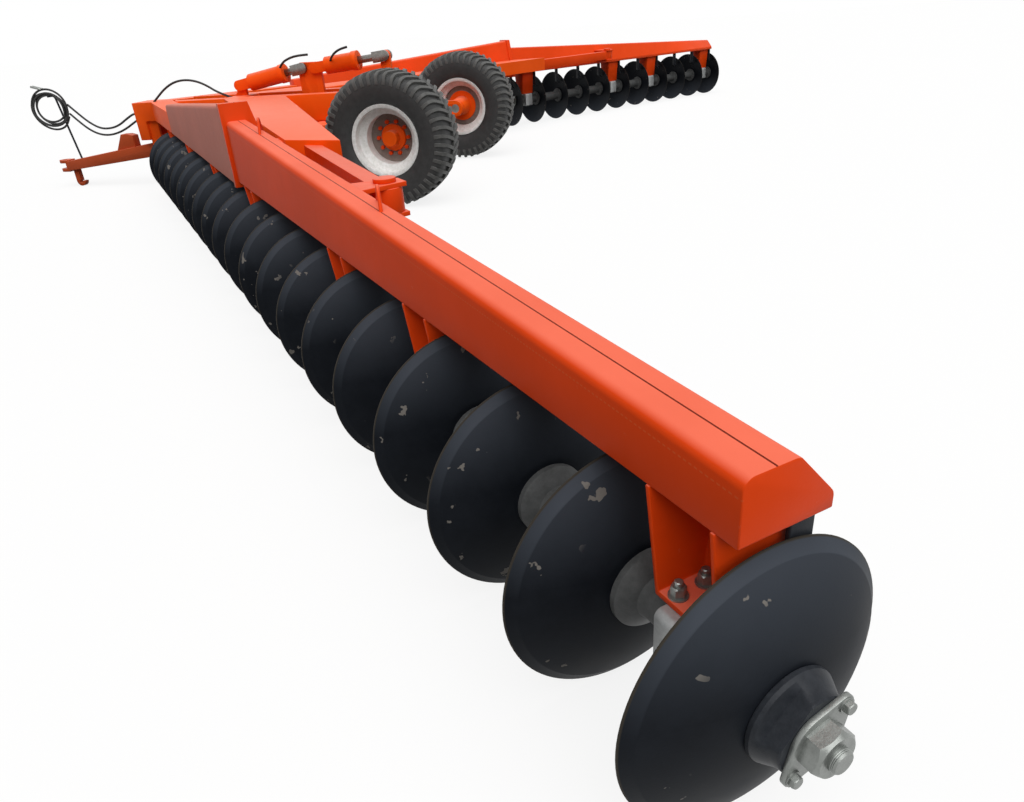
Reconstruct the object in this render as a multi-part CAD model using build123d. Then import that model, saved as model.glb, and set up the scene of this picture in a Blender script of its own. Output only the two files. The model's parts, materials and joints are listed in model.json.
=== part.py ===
from build123d import *
import math
import os

# Wide trailed disc harrow: two swept disc arms, a lifting axle and a floating tongue.
# X points to the right of travel, Y forward, Z up from the ground; millimetres.
# The origin is on the ground, on the centre line, half way along the machine.
# Stations are distances forward of the rearmost disc edge; u runs along an arm from its outer disc.

# Fits
FIT = 0.05
TOUCH = 0.3

# Discs and gangs
DISC_DIAMETER = 660.0
DISC_THICKNESS = 8.0
DISC_EDGE = 3.0
DISC_DISH = 77.0
DISC_FLAT = 210.0
DISC_SPACING = 423.0
OUTER_DISCS = 11
INNER_DISCS = 9
GANG_ANGLE = 41.1
ARM_REACH = 6796.0
ARM_APEX_STATION = 6180.7
SPOOL_DIAMETER = 112.0
SPOOL_FLANGE = 205.0
SPOOL_FLANGE_LENGTH = 46.0
SPOOL_WASHER_LENGTH = 22.0
END_BELL_DIAMETER = 250.0
END_BELL_NOSE = 176.0
END_BELL_LENGTH = 92.0
END_BELL_FLATS = 150.0
LOCK_PLATE_MIDDLE = 66.0
LOCK_PLATE_EAR = 20.0
LOCK_PLATE_REACH = 82.0
LOCK_PLATE_THICKNESS = 12.0
LOCK_TURN = 25.0
NUT_FLATS = 96.0
NUT_LENGTH = 58.0
STUB_DIAMETER = 52.0
STUB_LENGTH = 16.0

# Gang beams
BEAM_FRONT = 95.0
BEAM_REAR = -128.0
BEAM_BOTTOM = 705.0
BEAM_DISC_GAP = 45.0
BEAM_TOP_WIDTH = 126.0
BEAM_OUTER_TOP = 845.0
BEAM_JOINT_TOP = 1050.0
BEAM_OVERHANG = 20.0
BEAM_BEND = 26.0
BEAM_LIP = 34.0
JOINT_LEAD = 6.0
JOINT_AT = (OUTER_DISCS - 1) * DISC_SPACING - JOINT_LEAD
JOINT_PLATE = 25.0
JOINT_MARGIN = 22.0
INNER_JOINT_BOTTOM = 672.0
INNER_JOINT_TOP = 1140.0
INNER_END_BOTTOM = 697.0
INNER_END_TOP = 953.0
BEAM_END_REACH = 1181.95

# Bearing standards and scrapers
STANDARDS = (1, 4, 6, 10, 13, 16, 19)
STANDARD_OFFSET = 129.0
STANDARD_GAP = 166.0
STANDARD_PLATE = 12.0
STANDARD_TOP_WIDTH = 196.0
STANDARD_FOOT_WIDTH = 132.0
STANDARD_FOOT_PLATE = 16.0
STANDARD_FOOT_RISE = 88.0
STANDARD_RIB = 14.0
HOUSING_LENGTH = 118.0
HOUSING_WIDTH = 196.0
HOUSING_DROP = 78.0
HOUSING_ROUND = 40.0
SCRAPER_BAR = 12.0
SCRAPER_WIDTH = 60.0
SCRAPER_CENTRE = -93.0
SCRAPER_RUN = 9.0
SCRAPER_BLADE_RISE = 205.0
SCRAPER_BLADE_REACH = 46.0
SCRAPER_BLADE_DROP = 26.0

# Centre frame
SPINE_CENTRE = 250.0
SPINE_WIDTH = 150.0
SPINE_BOTTOM = 650.0
SPINE_TOP = 900.0
SPINE_REAR_STATION = 3300.0
ARM_PLATE_BOTTOM = 740.0
ARM_PLATE_OUTER = (3423.0, 2873.0)
ARM_PLATE_TIP = (3510.0, 2466.0)
ARM_PLATE_REAR_STATION = 4472.0
ARM_PLATE_FRONT_STATION = 5172.0
CROSS_WIDTH = 180.0
CROSS_STATIONS = (3462.0, 5132.0)
TIE_FROM_END = (2990.0, 1550.0)
TIE_WIDTH = 220.0
TIE_HEIGHT = 120.0
NOSE_BOTTOM = INNER_END_BOTTOM
NOSE_TOP = 890.0
NOSE_FRONT_STATION = 6420.0
NOSE_HALF_WIDTH = 150.0
NOSE_BLOCK_BOTTOM = 500.0
NOSE_BLOCK_LENGTH = 120.0

# Braces between the frame arms and the outer beams
BRACE_PIN_FROM_END = 4930.0
BRACE_PIN_W = -252.0
BRACE_WIDTH = 92.0
BRACE_HEIGHT = 110.0
BRACE_MIDDLE = 815.0
BRACE_EYE = 150.0
BRACE_PIN = 60.0
BRACE_PLATE = 20.0
BRACE_BRACKET_WIDTH = 210.0

# Lifting axle and wheels
PIVOT_STATION = 4112.0
PIVOT_HEIGHT = 540.0
ROCKSHAFT_DIAMETER = 200.0
ROCKSHAFT_END = 40.0
ROCKSHAFT_BEARING_LENGTH = 120.0
ROCKSHAFT_BEARING_WIDTH = 300.0
WHEEL_STATION = 3032.0
WHEEL_TRACK_HALF = 1200.0
WHEEL_ARM_INSET = 335.0
WHEEL_ARM_CENTRE = WHEEL_TRACK_HALF - WHEEL_ARM_INSET
ROCKSHAFT_HALF_LENGTH = WHEEL_ARM_CENTRE + ROCKSHAFT_END
WHEEL_ARM_THICKNESS = 60.0
WHEEL_ARM_HUB_WIDTH = 170.0
WHEEL_ARM_BOSS = 264.0
TYRE_DIAMETER = 1150.0
TYRE_WIDTH = 480.0
TYRE_SHOULDER = 44.0
RIM_DIAMETER = 572.0
RIM_FLANGE_DIAMETER = 611.0
RIM_WIDTH = 396.0
RIM_WALL = 12.0
RIM_WELL = 60.0
RIM_BEAD_SHARE = 0.5
RIM_WELL_SHARE = 0.36
WHEEL_DISC_OFFSET = 48.0
WHEEL_DISC_THICKNESS = 16.0
HUB_DIAMETER = 210.0
HUB_FLANGE_DIAMETER = 320.0
HUB_FLANGE_THICKNESS = 22.0
HUB_CAP_DIAMETER = 132.0
HUB_CAP_LENGTH = 70.0
STUB_AXLE_DIAMETER = 90.0

# Lift cylinders
POST_FOOT = 85.0
LEVER_THICKNESS = 50.0
LEVER_FLARE = 290.0
LEVER_FLARE_HEIGHT = 690.0
LEVER_WAIST_HEIGHT = 900.0
LEVER_FRONT_PIN = (4376.0, 1130.0)
LEVER_REAR_PIN = (4236.0, 1128.0)
LEVER_EAR = 54.0
FRONT_CYLINDER_BASE = (5132.0, 1000.0)
REAR_CYLINDER_EYE = (3462.0, 1200.0)
BARREL_DIAMETER = 168.0
FRONT_BARREL_LENGTH = 430.0
REAR_BARREL_LENGTH = 360.0
FRONT_ROD_START = 250.0
REAR_ROD_START = 345.0
BARREL_BASE = 122.0
GLAND_DIAMETER = 184.0
GLAND_LENGTH = 60.0
ROD_DIAMETER = 70.0
FORK_PLATE = 34.0
FORK_GAP = 6.0
FORK_RADIUS = 52.0
PIN_DIAMETER = 44.0
PIN_SLACK = 22.0

# Tongue
HINGE_STATION = 6252.0
HINGE_HEIGHT = 398.0
HINGE_PIN = 50.0
HINGE_EAR_GAP = 172.0
HINGE_EAR_PLATE = 28.0
HINGE_EAR_WIDTH = 130.0
TONGUE_WIDTH = 150.0
TONGUE_REAR_HEIGHT = 146.0
TONGUE_FRONT_HEIGHT = 104.0
TONGUE_END_STATION = 7560.0
TONGUE_END_HEIGHT = 236.0
TONGUE_BRACKET_STATION = 6600.0
TONGUE_BRACKET_LENGTH = 250.0
TONGUE_BRACKET_TOP = 560.0
HITCH_PLATE = 34.0
HITCH_GAP = 62.0
HITCH_WIDTH = 130.0
HITCH_PIN_STATION = 7640.0
HITCH_PIN_DIAMETER = 52.0
HITCH_NOSE = 62.0
FOOT_THICKNESS = 60.0
FOOT_STATION = 7515.0
FOOT_BEND = 58.0

# Hydraulic hoses; each route is a list of (across, station, height) points
HOSE = 22.0
STAND_ROD = 22.0
STAND_FOOT = (0.0, 7401.0)
STAND_TOP = (0.0, 7506.0, 1002.5)
STAND_PEG = 104.0
STAND_BEND = 40.0
COIL_MIDDLE = (7579.0, 853.0)
COIL_SPREAD = (272.0, 233.0)
COIL_HOLE_MIDDLE = (7545.0, 886.0)
COIL_HOLE = (178.0, 131.0)
COIL_NEAR = -18.0
COIL_WIDTH = 60.0
COUPLER_DIAMETER = 40.0
COUPLER_LENGTH = 130.0
COUPLER_START = (7600.0, 1078.0)
COUPLER_RISE = 14.0
COUPLER_OFFSETS = (-34.0, -62.0)
HOSE_UPPER = [
    (-36, 6420, 778),
    (-36, 6506, 778),
    (-40, 6620, 722),
    (-42, 6735, 660),
    (-43, 6850, 630),
    (-44, 6985, 632),
    (-45, 7112, 700),
    (-46, 7224, 800),
    (-48, 7330, 905),
]
HOSE_LOWER = [
    (36, 6420, 716),
    (36, 6500, 716),
    (30, 6600, 668),
    (18, 6705, 612),
    (4, 6815, 572),
    (-10, 6925, 554),
    (-22, 7030, 566),
    (-32, 7130, 612),
    (-40, 7232, 698),
    (-47, 7335, 808),
]
HOSE_ARCH = [
    (-110, 6173, 880),
    (-112, 6080, 952),
    (-114, 5970, 1026),
    (-116, 5845, 1078),
    (-118, 5712, 1092),
    (-120, 5580, 1072),
    (-122, 5460, 1020),
    (-124, 5355, 950),
    (-125, 5180, 885),
]
HOSE_WHIP_FRONT = [
    (-56, 4619, 1144),
    (-108, 4556, 1196),
    (-130, 4456, 1236),
    (-138, 4350, 1256),
    (-140, 4240, 1258),
]
HOSE_WHIP_REAR = [
    (-65, 4037, 1184),
    (-118, 4000, 1216),
    (-140, 3940, 1262),
    (-146, 3870, 1292),
    (-146, 3800, 1304),
]

OVERALL_LENGTH = HITCH_PIN_STATION + HITCH_NOSE
# The gangs hang at a fixed gap under the beams
AXIS = BEAM_BOTTOM - BEAM_DISC_GAP - DISC_DIAMETER / 2
ARM_OUT = -DISC_DISH - DISC_THICKNESS
ARM_STATION = ARM_APEX_STATION - ARM_REACH * math.tan(math.radians(GANG_ANGLE))
INNER_BEAM_END = (ARM_REACH - BEAM_END_REACH) / math.cos(math.radians(GANG_ANGLE))
BRACE_PIN_U = INNER_BEAM_END - BRACE_PIN_FROM_END


def fore(station):
    """Y of a station."""
    return station - OVERALL_LENGTH / 2


ARM = Location((-ARM_REACH, fore(ARM_STATION), 0), (0, 0, GANG_ANGLE))
NODES = {}


def arm_point(u, w):
    """Plan point of the left arm: u along the gang from disc 1, w forward of its axis."""
    turn = math.radians(GANG_ANGLE)
    x = -ARM_REACH + u * math.cos(turn) - w * math.sin(turn)
    y = fore(ARM_STATION) + u * math.sin(turn) + w * math.cos(turn)
    return x, y


def keep(name, *solids):
    """Stores a node made of one or more solids."""
    flat = []
    for item in solids:
        flat.extend(item.solids())
    NODES[name] = flat


def mirrored(solids):
    """Mirror images of solids on the other side of the centre line."""
    return [mirror(item, about=Plane.YZ) for item in solids]


def keep_both(name, *solids):
    """Stores a left node and its mirror image on the right."""
    keep(name + "_left", *solids)
    keep(name + "_right", *mirrored(solids))


def keep_pair(name, *solids):
    """Stores like pieces of both sides, carried by one body, as one node."""
    keep(name, *solids, *mirrored(solids))


def outline(points):
    """Closed face through corner points on the XY plane."""
    return make_face(Polyline(*points, close=True))


def upright(points, thickness):
    """Plate from a side outline of (forward, up) points, centred on X = 0."""
    face = Plane.YZ * outline(points)
    return extrude(face, thickness / 2, both=True)


def slab(points, low, high):
    """Plate from a plan outline between two heights."""
    return extrude(Pos(0, 0, low) * outline(points), high - low)


def across(radius, length, middle):
    """Round bar along X centred at a point."""
    return Pos(*middle) * Rot(0, 90, 0) * Cylinder(radius, length)


def turned(points):
    """Solid of revolution about the gang axis from (along, radius) points."""
    face = Plane.XZ * outline(points)
    return Pos(0, 0, AXIS) * revolve(face, Axis.X)


def disc_at(u):
    """One dished disc with its concave rim plane at u."""
    rim = DISC_DIAMETER / 2
    flat = DISC_FLAT / 2
    sphere = (rim ** 2 + DISC_DISH ** 2) / (2 * DISC_DISH)
    middle = (rim + flat) / 2
    start = sphere - math.sqrt(sphere ** 2 - flat ** 2)
    rise = sphere - math.sqrt(sphere ** 2 - middle ** 2) - start
    scale = DISC_DISH / (DISC_DISH - start)
    hollow = -DISC_DISH + rise * scale
    inner = ThreePointArc((-DISC_DISH, flat), (hollow, middle), (0, rim))
    outer = ThreePointArc((-DISC_EDGE, rim), (hollow - DISC_THICKNESS, middle), (ARM_OUT, flat))
    edges = [
        Line((-DISC_DISH, 0), (-DISC_DISH, flat)),
        inner,
        Line((0, rim), (-DISC_EDGE, rim)),
        outer,
        Line((ARM_OUT, flat), (ARM_OUT, 0)),
        Line((ARM_OUT, 0), (-DISC_DISH, 0)),
    ]
    face = Plane.XZ * make_face(edges)
    return Pos(u, 0, AXIS) * revolve(face, Axis.X)


def spool_at(u):
    """Spool from the hollow side of the disc at u to the back of the next disc."""
    start = -DISC_DISH
    end = DISC_SPACING + ARM_OUT
    tube = SPOOL_DIAMETER / 2
    flange = SPOOL_FLANGE / 2
    points = [
        (start, 0),
        (start, flange * 0.9),
        (start + SPOOL_WASHER_LENGTH, flange * 0.9),
        (start + SPOOL_WASHER_LENGTH, tube),
        (end - SPOOL_FLANGE_LENGTH, tube),
        (end - SPOOL_FLANGE_LENGTH * 0.4, flange),
        (end, flange),
        (end, 0),
    ]
    return Pos(u, 0, 0) * turned(points)


def end_bell(u):
    """End bell on the back of the outermost disc at u."""
    bell = END_BELL_DIAMETER / 2
    nose = END_BELL_NOSE / 2
    points = [
        (ARM_OUT, 0),
        (ARM_OUT, bell),
        (ARM_OUT - END_BELL_LENGTH * 0.3, bell * 0.98),
        (ARM_OUT - END_BELL_LENGTH * 0.75, nose),
        (ARM_OUT - END_BELL_LENGTH, nose),
        (ARM_OUT - END_BELL_LENGTH, 0),
    ]
    bell_solid = turned(points)
    neck = END_BELL_LENGTH * 0.7
    for side in (-1, 1):
        cut = Box(neck, END_BELL_DIAMETER * 2, END_BELL_DIAMETER)
        cut = Pos(0, 0, side * (END_BELL_FLATS + END_BELL_DIAMETER) / 2) * cut
        place = Pos(ARM_OUT - END_BELL_LENGTH + neck / 2, 0, AXIS) * Rot(LOCK_TURN, 0, 0)
        bell_solid = bell_solid - place * cut
    return Pos(u, 0, 0) * bell_solid


def end_nut(u, face, way):
    """Two-eared lock plate, nut and stub on a gang's end, pointing along +u or -u."""
    rounds = [Circle(LOCK_PLATE_MIDDLE)]
    for side in (-1, 1):
        rounds.append(Pos(side * LOCK_PLATE_REACH, 0) * Circle(LOCK_PLATE_EAR))
    plan = make_hull([edge for item in rounds for edge in item.edges()])
    plate = extrude(Plane.YZ * plan, LOCK_PLATE_THICKNESS * way)
    hexagon = Plane.YZ * RegularPolygon(NUT_FLATS / 2, 6, major_radius=False)
    nut = extrude(hexagon, NUT_LENGTH * way)
    nut = Pos(way * LOCK_PLATE_THICKNESS, 0, 0) * nut
    reach = LOCK_PLATE_THICKNESS + NUT_LENGTH
    stub = Pos(way * (reach + STUB_LENGTH / 2), 0, 0) * Rot(0, 90, 0)
    stub = stub * Cylinder(STUB_DIAMETER / 2, STUB_LENGTH)
    return Pos(u + face, 0, AXIS) * Rot(LOCK_TURN, 0, 0) * (plate + nut + stub)


def gang(name, first, count):
    """Discs, spools and end hardware of one freely turning gang."""
    starts = [(first + i) * DISC_SPACING for i in range(count)]
    keep_both("discs_" + name, *[ARM * disc_at(u) for u in starts])
    keep_both("spools_" + name, *[ARM * spool_at(u) for u in starts[:-1]])
    bell = end_bell(starts[0]) + end_nut(starts[0], ARM_OUT - END_BELL_LENGTH, -1)
    nut = end_nut(starts[-1], -DISC_DISH, 1)
    keep_both("gang_ends_" + name, ARM * bell, ARM * nut)


def beam_section(bottom, top):
    """Bent box section: upright front, narrow top and slanted rear wall."""
    rear_top = BEAM_FRONT - BEAM_TOP_WIDTH
    corners = [
        (BEAM_FRONT, bottom),
        (BEAM_FRONT, top),
        (rear_top, top),
        (BEAM_REAR, bottom + BEAM_LIP),
        (BEAM_REAR, bottom),
    ]
    face = outline(corners)
    bent = face.vertices().sort_by(Axis.Y)[2:]
    return fillet(bent, BEAM_BEND)


def beam_between(u_start, start, u_end, end):
    """Tapered beam lofted between two sections given as (bottom, top)."""
    first = Plane(origin=(u_start, 0, 0), x_dir=(0, 1, 0), z_dir=(1, 0, 0))
    second = Plane(origin=(u_end, 0, 0), x_dir=(0, 1, 0), z_dir=(1, 0, 0))
    return loft([first * beam_section(*start), second * beam_section(*end)])


def joint_plate(u_start, u_end):
    """Bolted end plate of a gang beam."""
    low = INNER_JOINT_BOTTOM
    high = INNER_JOINT_TOP + JOINT_MARGIN / 2
    rear = BEAM_REAR - JOINT_MARGIN
    front = BEAM_FRONT + JOINT_MARGIN
    rear_top = BEAM_FRONT - BEAM_TOP_WIDTH - JOINT_MARGIN
    corners = [(front, low), (front, high), (rear_top, high), (rear, BEAM_BOTTOM + BEAM_LIP), (rear, low)]
    side = Plane(origin=(u_start, 0, 0), x_dir=(0, 1, 0), z_dir=(1, 0, 0))
    return extrude(side * outline(corners), u_end - u_start)


def gang_beams():
    """Outer and inner gang beams with the bolted joint between them."""
    outer = beam_between(
        -BEAM_OVERHANG,
        (BEAM_BOTTOM, BEAM_OUTER_TOP),
        JOINT_AT - JOINT_PLATE / 2,
        (BEAM_BOTTOM, BEAM_JOINT_TOP),
    )
    outer = outer + joint_plate(JOINT_AT - JOINT_PLATE, JOINT_AT)
    inner = beam_between(
        JOINT_AT + JOINT_PLATE / 2,
        (INNER_JOINT_BOTTOM, INNER_JOINT_TOP),
        INNER_BEAM_END,
        (INNER_END_BOTTOM, INNER_END_TOP),
    )
    inner = inner + joint_plate(JOINT_AT, JOINT_AT + JOINT_PLATE)
    keep_both("gang_beam_outer", ARM * outer)
    keep_both("gang_beam_inner", ARM * inner)


def beam_bottom_at(u):
    """Height of the beam's underside at u."""
    if u < JOINT_AT:
        return BEAM_BOTTOM
    if u < JOINT_AT + JOINT_PLATE:
        return INNER_JOINT_BOTTOM
    start = JOINT_AT + JOINT_PLATE / 2
    share = (u - start) / (INNER_BEAM_END - start)
    share = max(min(share, 1.0), 0.0)
    return INNER_JOINT_BOTTOM + share * (INNER_END_BOTTOM - INNER_JOINT_BOTTOM)


def standard_at(u):
    """Bent-plate bearing standard hung under the beam at u."""
    top = min(beam_bottom_at(u - STANDARD_GAP), beam_bottom_at(u + STANDARD_GAP))
    foot = AXIS + STANDARD_FOOT_RISE
    wide = STANDARD_TOP_WIDTH / 2
    narrow = STANDARD_FOOT_WIDTH / 2
    leg_face = outline([(-wide, top), (wide, top), (narrow, foot), (-narrow, foot)])
    side = Plane(origin=(u, 0, 0), x_dir=(0, 1, 0), z_dir=(1, 0, 0))
    block = extrude(side * leg_face, STANDARD_GAP / 2 + STANDARD_PLATE, both=True)
    room = Pos(u, 0, (foot + STANDARD_FOOT_PLATE + top) / 2)
    room = room * Box(STANDARD_GAP, STANDARD_TOP_WIDTH * 2, top - foot - STANDARD_FOOT_PLATE)
    thick = STANDARD_RIB
    rib_face = outline([(-wide, top), (-narrow, foot), (-narrow + thick, foot), (-wide + thick, top)])
    rib = extrude(side * rib_face, STANDARD_GAP / 2, both=True)
    return block - room + rib


def housing_at(u):
    """Bearing housing under a standard, bored for the spool."""
    high = AXIS + STANDARD_FOOT_RISE
    low = AXIS - HOUSING_DROP
    block = Box(HOUSING_LENGTH, HOUSING_WIDTH, high - low)
    block = fillet(block.edges().filter_by(Axis.X), HOUSING_ROUND * 0.5)
    block = Pos(u, 0, (high + low) / 2) * block
    bore = Pos(u, 0, AXIS) * Rot(0, 90, 0) * Cylinder(SPOOL_DIAMETER / 2 + FIT, HOUSING_LENGTH * 2)
    return block - bore


def scraper_at(u):
    """Scraper bar hung behind the beam with its blade turned into the dish."""
    top = min(beam_bottom_at(u + SCRAPER_RUN), beam_bottom_at(u + SCRAPER_RUN + SCRAPER_BAR))
    blade = AXIS + SCRAPER_BLADE_RISE
    near = SCRAPER_RUN
    far = SCRAPER_RUN + SCRAPER_BAR
    tip = far - SCRAPER_BLADE_REACH
    points = [
        (near, top),
        (far, top),
        (far, blade),
        (tip, blade - SCRAPER_BLADE_DROP),
        (tip, blade - SCRAPER_BLADE_DROP + SCRAPER_BAR),
        (near, blade + SCRAPER_BAR),
    ]
    face = Plane.XZ * outline(points)
    bar = extrude(face, SCRAPER_WIDTH / 2, both=True)
    return Pos(u, SCRAPER_CENTRE, 0) * bar


def standards():
    """Standards, bearing housings and scrapers under both arms."""
    places = [(n - 1) * DISC_SPACING + STANDARD_OFFSET for n in STANDARDS]
    keep_pair("standards", *[ARM * standard_at(u) for u in places])
    keep_pair("bearings", *[ARM * housing_at(u) for u in places])
    discs = [i * DISC_SPACING for i in range(OUTER_DISCS + INNER_DISCS)]
    keep_pair("scrapers", *[ARM * scraper_at(u) for u in discs])


def nose_rear_at(x):
    """Y of the nose's rear face at a distance x from the centre line."""
    left_rear = arm_point(INNER_BEAM_END, BEAM_REAR)
    turn = math.tan(math.radians(GANG_ANGLE))
    return left_rear[1] - (left_rear[0] + x) * turn


def centre_frame():
    """Two spine beams, the swept frame arms, their ties and the nose."""
    rear = fore(SPINE_REAR_STATION)
    inside = SPINE_CENTRE - SPINE_WIDTH / 2
    outside = SPINE_CENTRE + SPINE_WIDTH / 2
    sides = [
        (-outside, rear),
        (-inside, rear),
        (-inside, nose_rear_at(inside)),
        (-outside, nose_rear_at(outside)),
    ]
    keep_pair("spine_beams", slab(sides, SPINE_BOTTOM, SPINE_TOP))
    crosses = []
    for station in CROSS_STATIONS:
        cross = Box(inside * 2, CROSS_WIDTH, SPINE_TOP - SPINE_BOTTOM)
        crosses.append(Pos(0, fore(station), (SPINE_TOP + SPINE_BOTTOM) / 2) * cross)
    keep("spine_crosses", *crosses)
    corners = [
        (-ARM_PLATE_OUTER[0], fore(ARM_PLATE_OUTER[1])),
        (-ARM_PLATE_TIP[0], fore(ARM_PLATE_TIP[1])),
        (-outside, fore(ARM_PLATE_REAR_STATION)),
        (-outside, fore(ARM_PLATE_FRONT_STATION)),
    ]
    keep_both("frame_arm", slab(corners, ARM_PLATE_BOTTOM, SPINE_TOP))


def arm_front_edge(u):
    """W of the frame arm's front edge at u."""
    turn = math.radians(GANG_ANGLE)
    outside = SPINE_CENTRE + SPINE_WIDTH / 2
    ends = [
        (-ARM_PLATE_OUTER[0], fore(ARM_PLATE_OUTER[1])),
        (-outside, fore(ARM_PLATE_FRONT_STATION)),
    ]
    places = []
    for x, y in ends:
        dx = x + ARM_REACH
        dy = y - fore(ARM_STATION)
        along = dx * math.cos(turn) + dy * math.sin(turn)
        ahead = dy * math.cos(turn) - dx * math.sin(turn)
        places.append((along, ahead))
    share = (u - places[0][0]) / (places[1][0] - places[0][0])
    return places[0][1] + share * (places[1][1] - places[0][1])


def frame_ties():
    """Short box ties from the frame arm to the inner gang beam."""
    low = (ARM_PLATE_BOTTOM + SPINE_TOP - TIE_HEIGHT) / 2
    ties = []
    for from_end in TIE_FROM_END:
        u = INNER_BEAM_END - from_end
        half = TIE_WIDTH / 2
        slant = BEAM_REAR
        corners = [
            (u - half, arm_front_edge(u - half)),
            (u + half, arm_front_edge(u + half)),
            (u + half, slant),
            (u - half, slant),
        ]
        ties.append(ARM * slab(corners, low, low + TIE_HEIGHT))
    keep_pair("frame_ties", *ties)


def nose():
    """Chevron nose where the two arms meet, with the tongue's hinge ears."""
    left_front = arm_point(INNER_BEAM_END, BEAM_FRONT)
    left_rear = arm_point(INNER_BEAM_END, BEAM_REAR)
    turn = math.tan(math.radians(GANG_ANGLE))
    front_y = left_front[1] + (-NOSE_HALF_WIDTH - left_front[0]) * turn
    tip = fore(NOSE_FRONT_STATION)
    corners = [
        left_front,
        (-NOSE_HALF_WIDTH, front_y),
        (-NOSE_HALF_WIDTH, tip),
        (NOSE_HALF_WIDTH, tip),
        (NOSE_HALF_WIDTH, front_y),
        (-left_front[0], left_front[1]),
        (-left_rear[0], left_rear[1]),
        (0, nose_rear_at(0)),
        left_rear,
    ]
    chevron = slab(corners, NOSE_BOTTOM, NOSE_TOP)
    block = Box(NOSE_HALF_WIDTH * 2, NOSE_BLOCK_LENGTH, NOSE_BOTTOM - NOSE_BLOCK_BOTTOM)
    block = Pos(0, tip - NOSE_BLOCK_LENGTH / 2, (NOSE_BOTTOM + NOSE_BLOCK_BOTTOM) / 2) * block
    hinge = fore(HINGE_STATION)
    half = HINGE_EAR_WIDTH / 2
    ears = []
    for side in (-1, 1):
        place = side * (HINGE_EAR_GAP + HINGE_EAR_PLATE) / 2
        plate = upright(
            [
                (hinge - half, NOSE_BOTTOM),
                (hinge - half, HINGE_HEIGHT),
                (hinge + half, HINGE_HEIGHT),
                (hinge + half, NOSE_BOTTOM),
            ],
            HINGE_EAR_PLATE,
        )
        plate = plate + across(half, HINGE_EAR_PLATE, (0, hinge, HINGE_HEIGHT))
        hole = across(HINGE_PIN / 2 + FIT, HINGE_EAR_PLATE * 3, (0, hinge, HINGE_HEIGHT))
        ears.append(Pos(place, 0, 0) * (plate - hole))
    keep("nose", chevron + block + ears[0] + ears[1])


def braces():
    """Brace from each frame arm's tip to a pinned bracket on the outer beam."""
    pin = arm_point(BRACE_PIN_U, BRACE_PIN_W)
    x_end = -(ARM_PLATE_OUTER[0] + ARM_PLATE_TIP[0]) / 2
    y_end = fore((ARM_PLATE_OUTER[1] + ARM_PLATE_TIP[1]) / 2)
    run = math.hypot(x_end - pin[0], y_end - pin[1])
    way = math.degrees(math.atan2(y_end - pin[1], x_end - pin[0]))
    half = BRACE_HEIGHT / 2
    place = Location((pin[0], pin[1], BRACE_MIDDLE), (0, 0, way))
    end_face = Plane(
        origin=(-ARM_PLATE_OUTER[0], fore(ARM_PLATE_OUTER[1]), 0),
        z_dir=(
            fore(ARM_PLATE_TIP[1]) - fore(ARM_PLATE_OUTER[1]),
            ARM_PLATE_TIP[0] - ARM_PLATE_OUTER[0],
            0,
        ),
    )
    bar = Pos(run / 2 + BRACE_EYE / 2, 0, 0) * Box(run + BRACE_EYE, BRACE_WIDTH, BRACE_HEIGHT)
    bar = place * bar
    bar = split(bar, bisect_by=end_face, keep=Keep.TOP)
    eye = place * Cylinder(BRACE_EYE / 2, BRACE_HEIGHT)
    hole = place * Cylinder(BRACE_PIN / 2, BRACE_HEIGHT * 2)
    keep_both("brace", bar + eye - hole)

    reach = BRACE_PIN_W - BRACE_EYE * 0.55
    wide = BRACE_BRACKET_WIDTH / 2
    plates = []
    for low in (BRACE_MIDDLE - half - BRACE_PLATE, BRACE_MIDDLE + half):
        corners = [
            (BRACE_PIN_U - wide, beam_rear_at(BRACE_PIN_U - wide, low)),
            (BRACE_PIN_U - wide * 0.5, reach),
            (BRACE_PIN_U + wide * 0.5, reach),
            (BRACE_PIN_U + wide, beam_rear_at(BRACE_PIN_U + wide, low)),
        ]
        plates.append(ARM * slab(corners, low, low + BRACE_PLATE))
    through = Pos(pin[0], pin[1], BRACE_MIDDLE) * Cylinder(BRACE_PIN / 2, BRACE_HEIGHT * 3)
    keep_pair("brace_brackets", *[plate - through for plate in plates])
    length = BRACE_HEIGHT + 2 * BRACE_PLATE
    shank = Pos(pin[0], pin[1], BRACE_MIDDLE) * Cylinder(BRACE_PIN / 2, length)
    cap_height = BRACE_PLATE
    cap = Pos(pin[0], pin[1], BRACE_MIDDLE + length / 2 + cap_height / 2)
    cap = cap * Cylinder(BRACE_PIN * 0.85, cap_height)
    keep_pair("brace_pins", shank + cap)


def beam_rear_at(u, height):
    """W of the outer beam's slanted rear wall at u and a height."""
    share = (u + BEAM_OVERHANG) / (JOINT_AT + BEAM_OVERHANG)
    top = BEAM_OUTER_TOP + share * (BEAM_JOINT_TOP - BEAM_OUTER_TOP)
    low = BEAM_BOTTOM + BEAM_LIP
    slope = (BEAM_FRONT - BEAM_TOP_WIDTH - BEAM_REAR) / (top - low)
    return BEAM_REAR + max(height - low, 0) * slope


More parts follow.
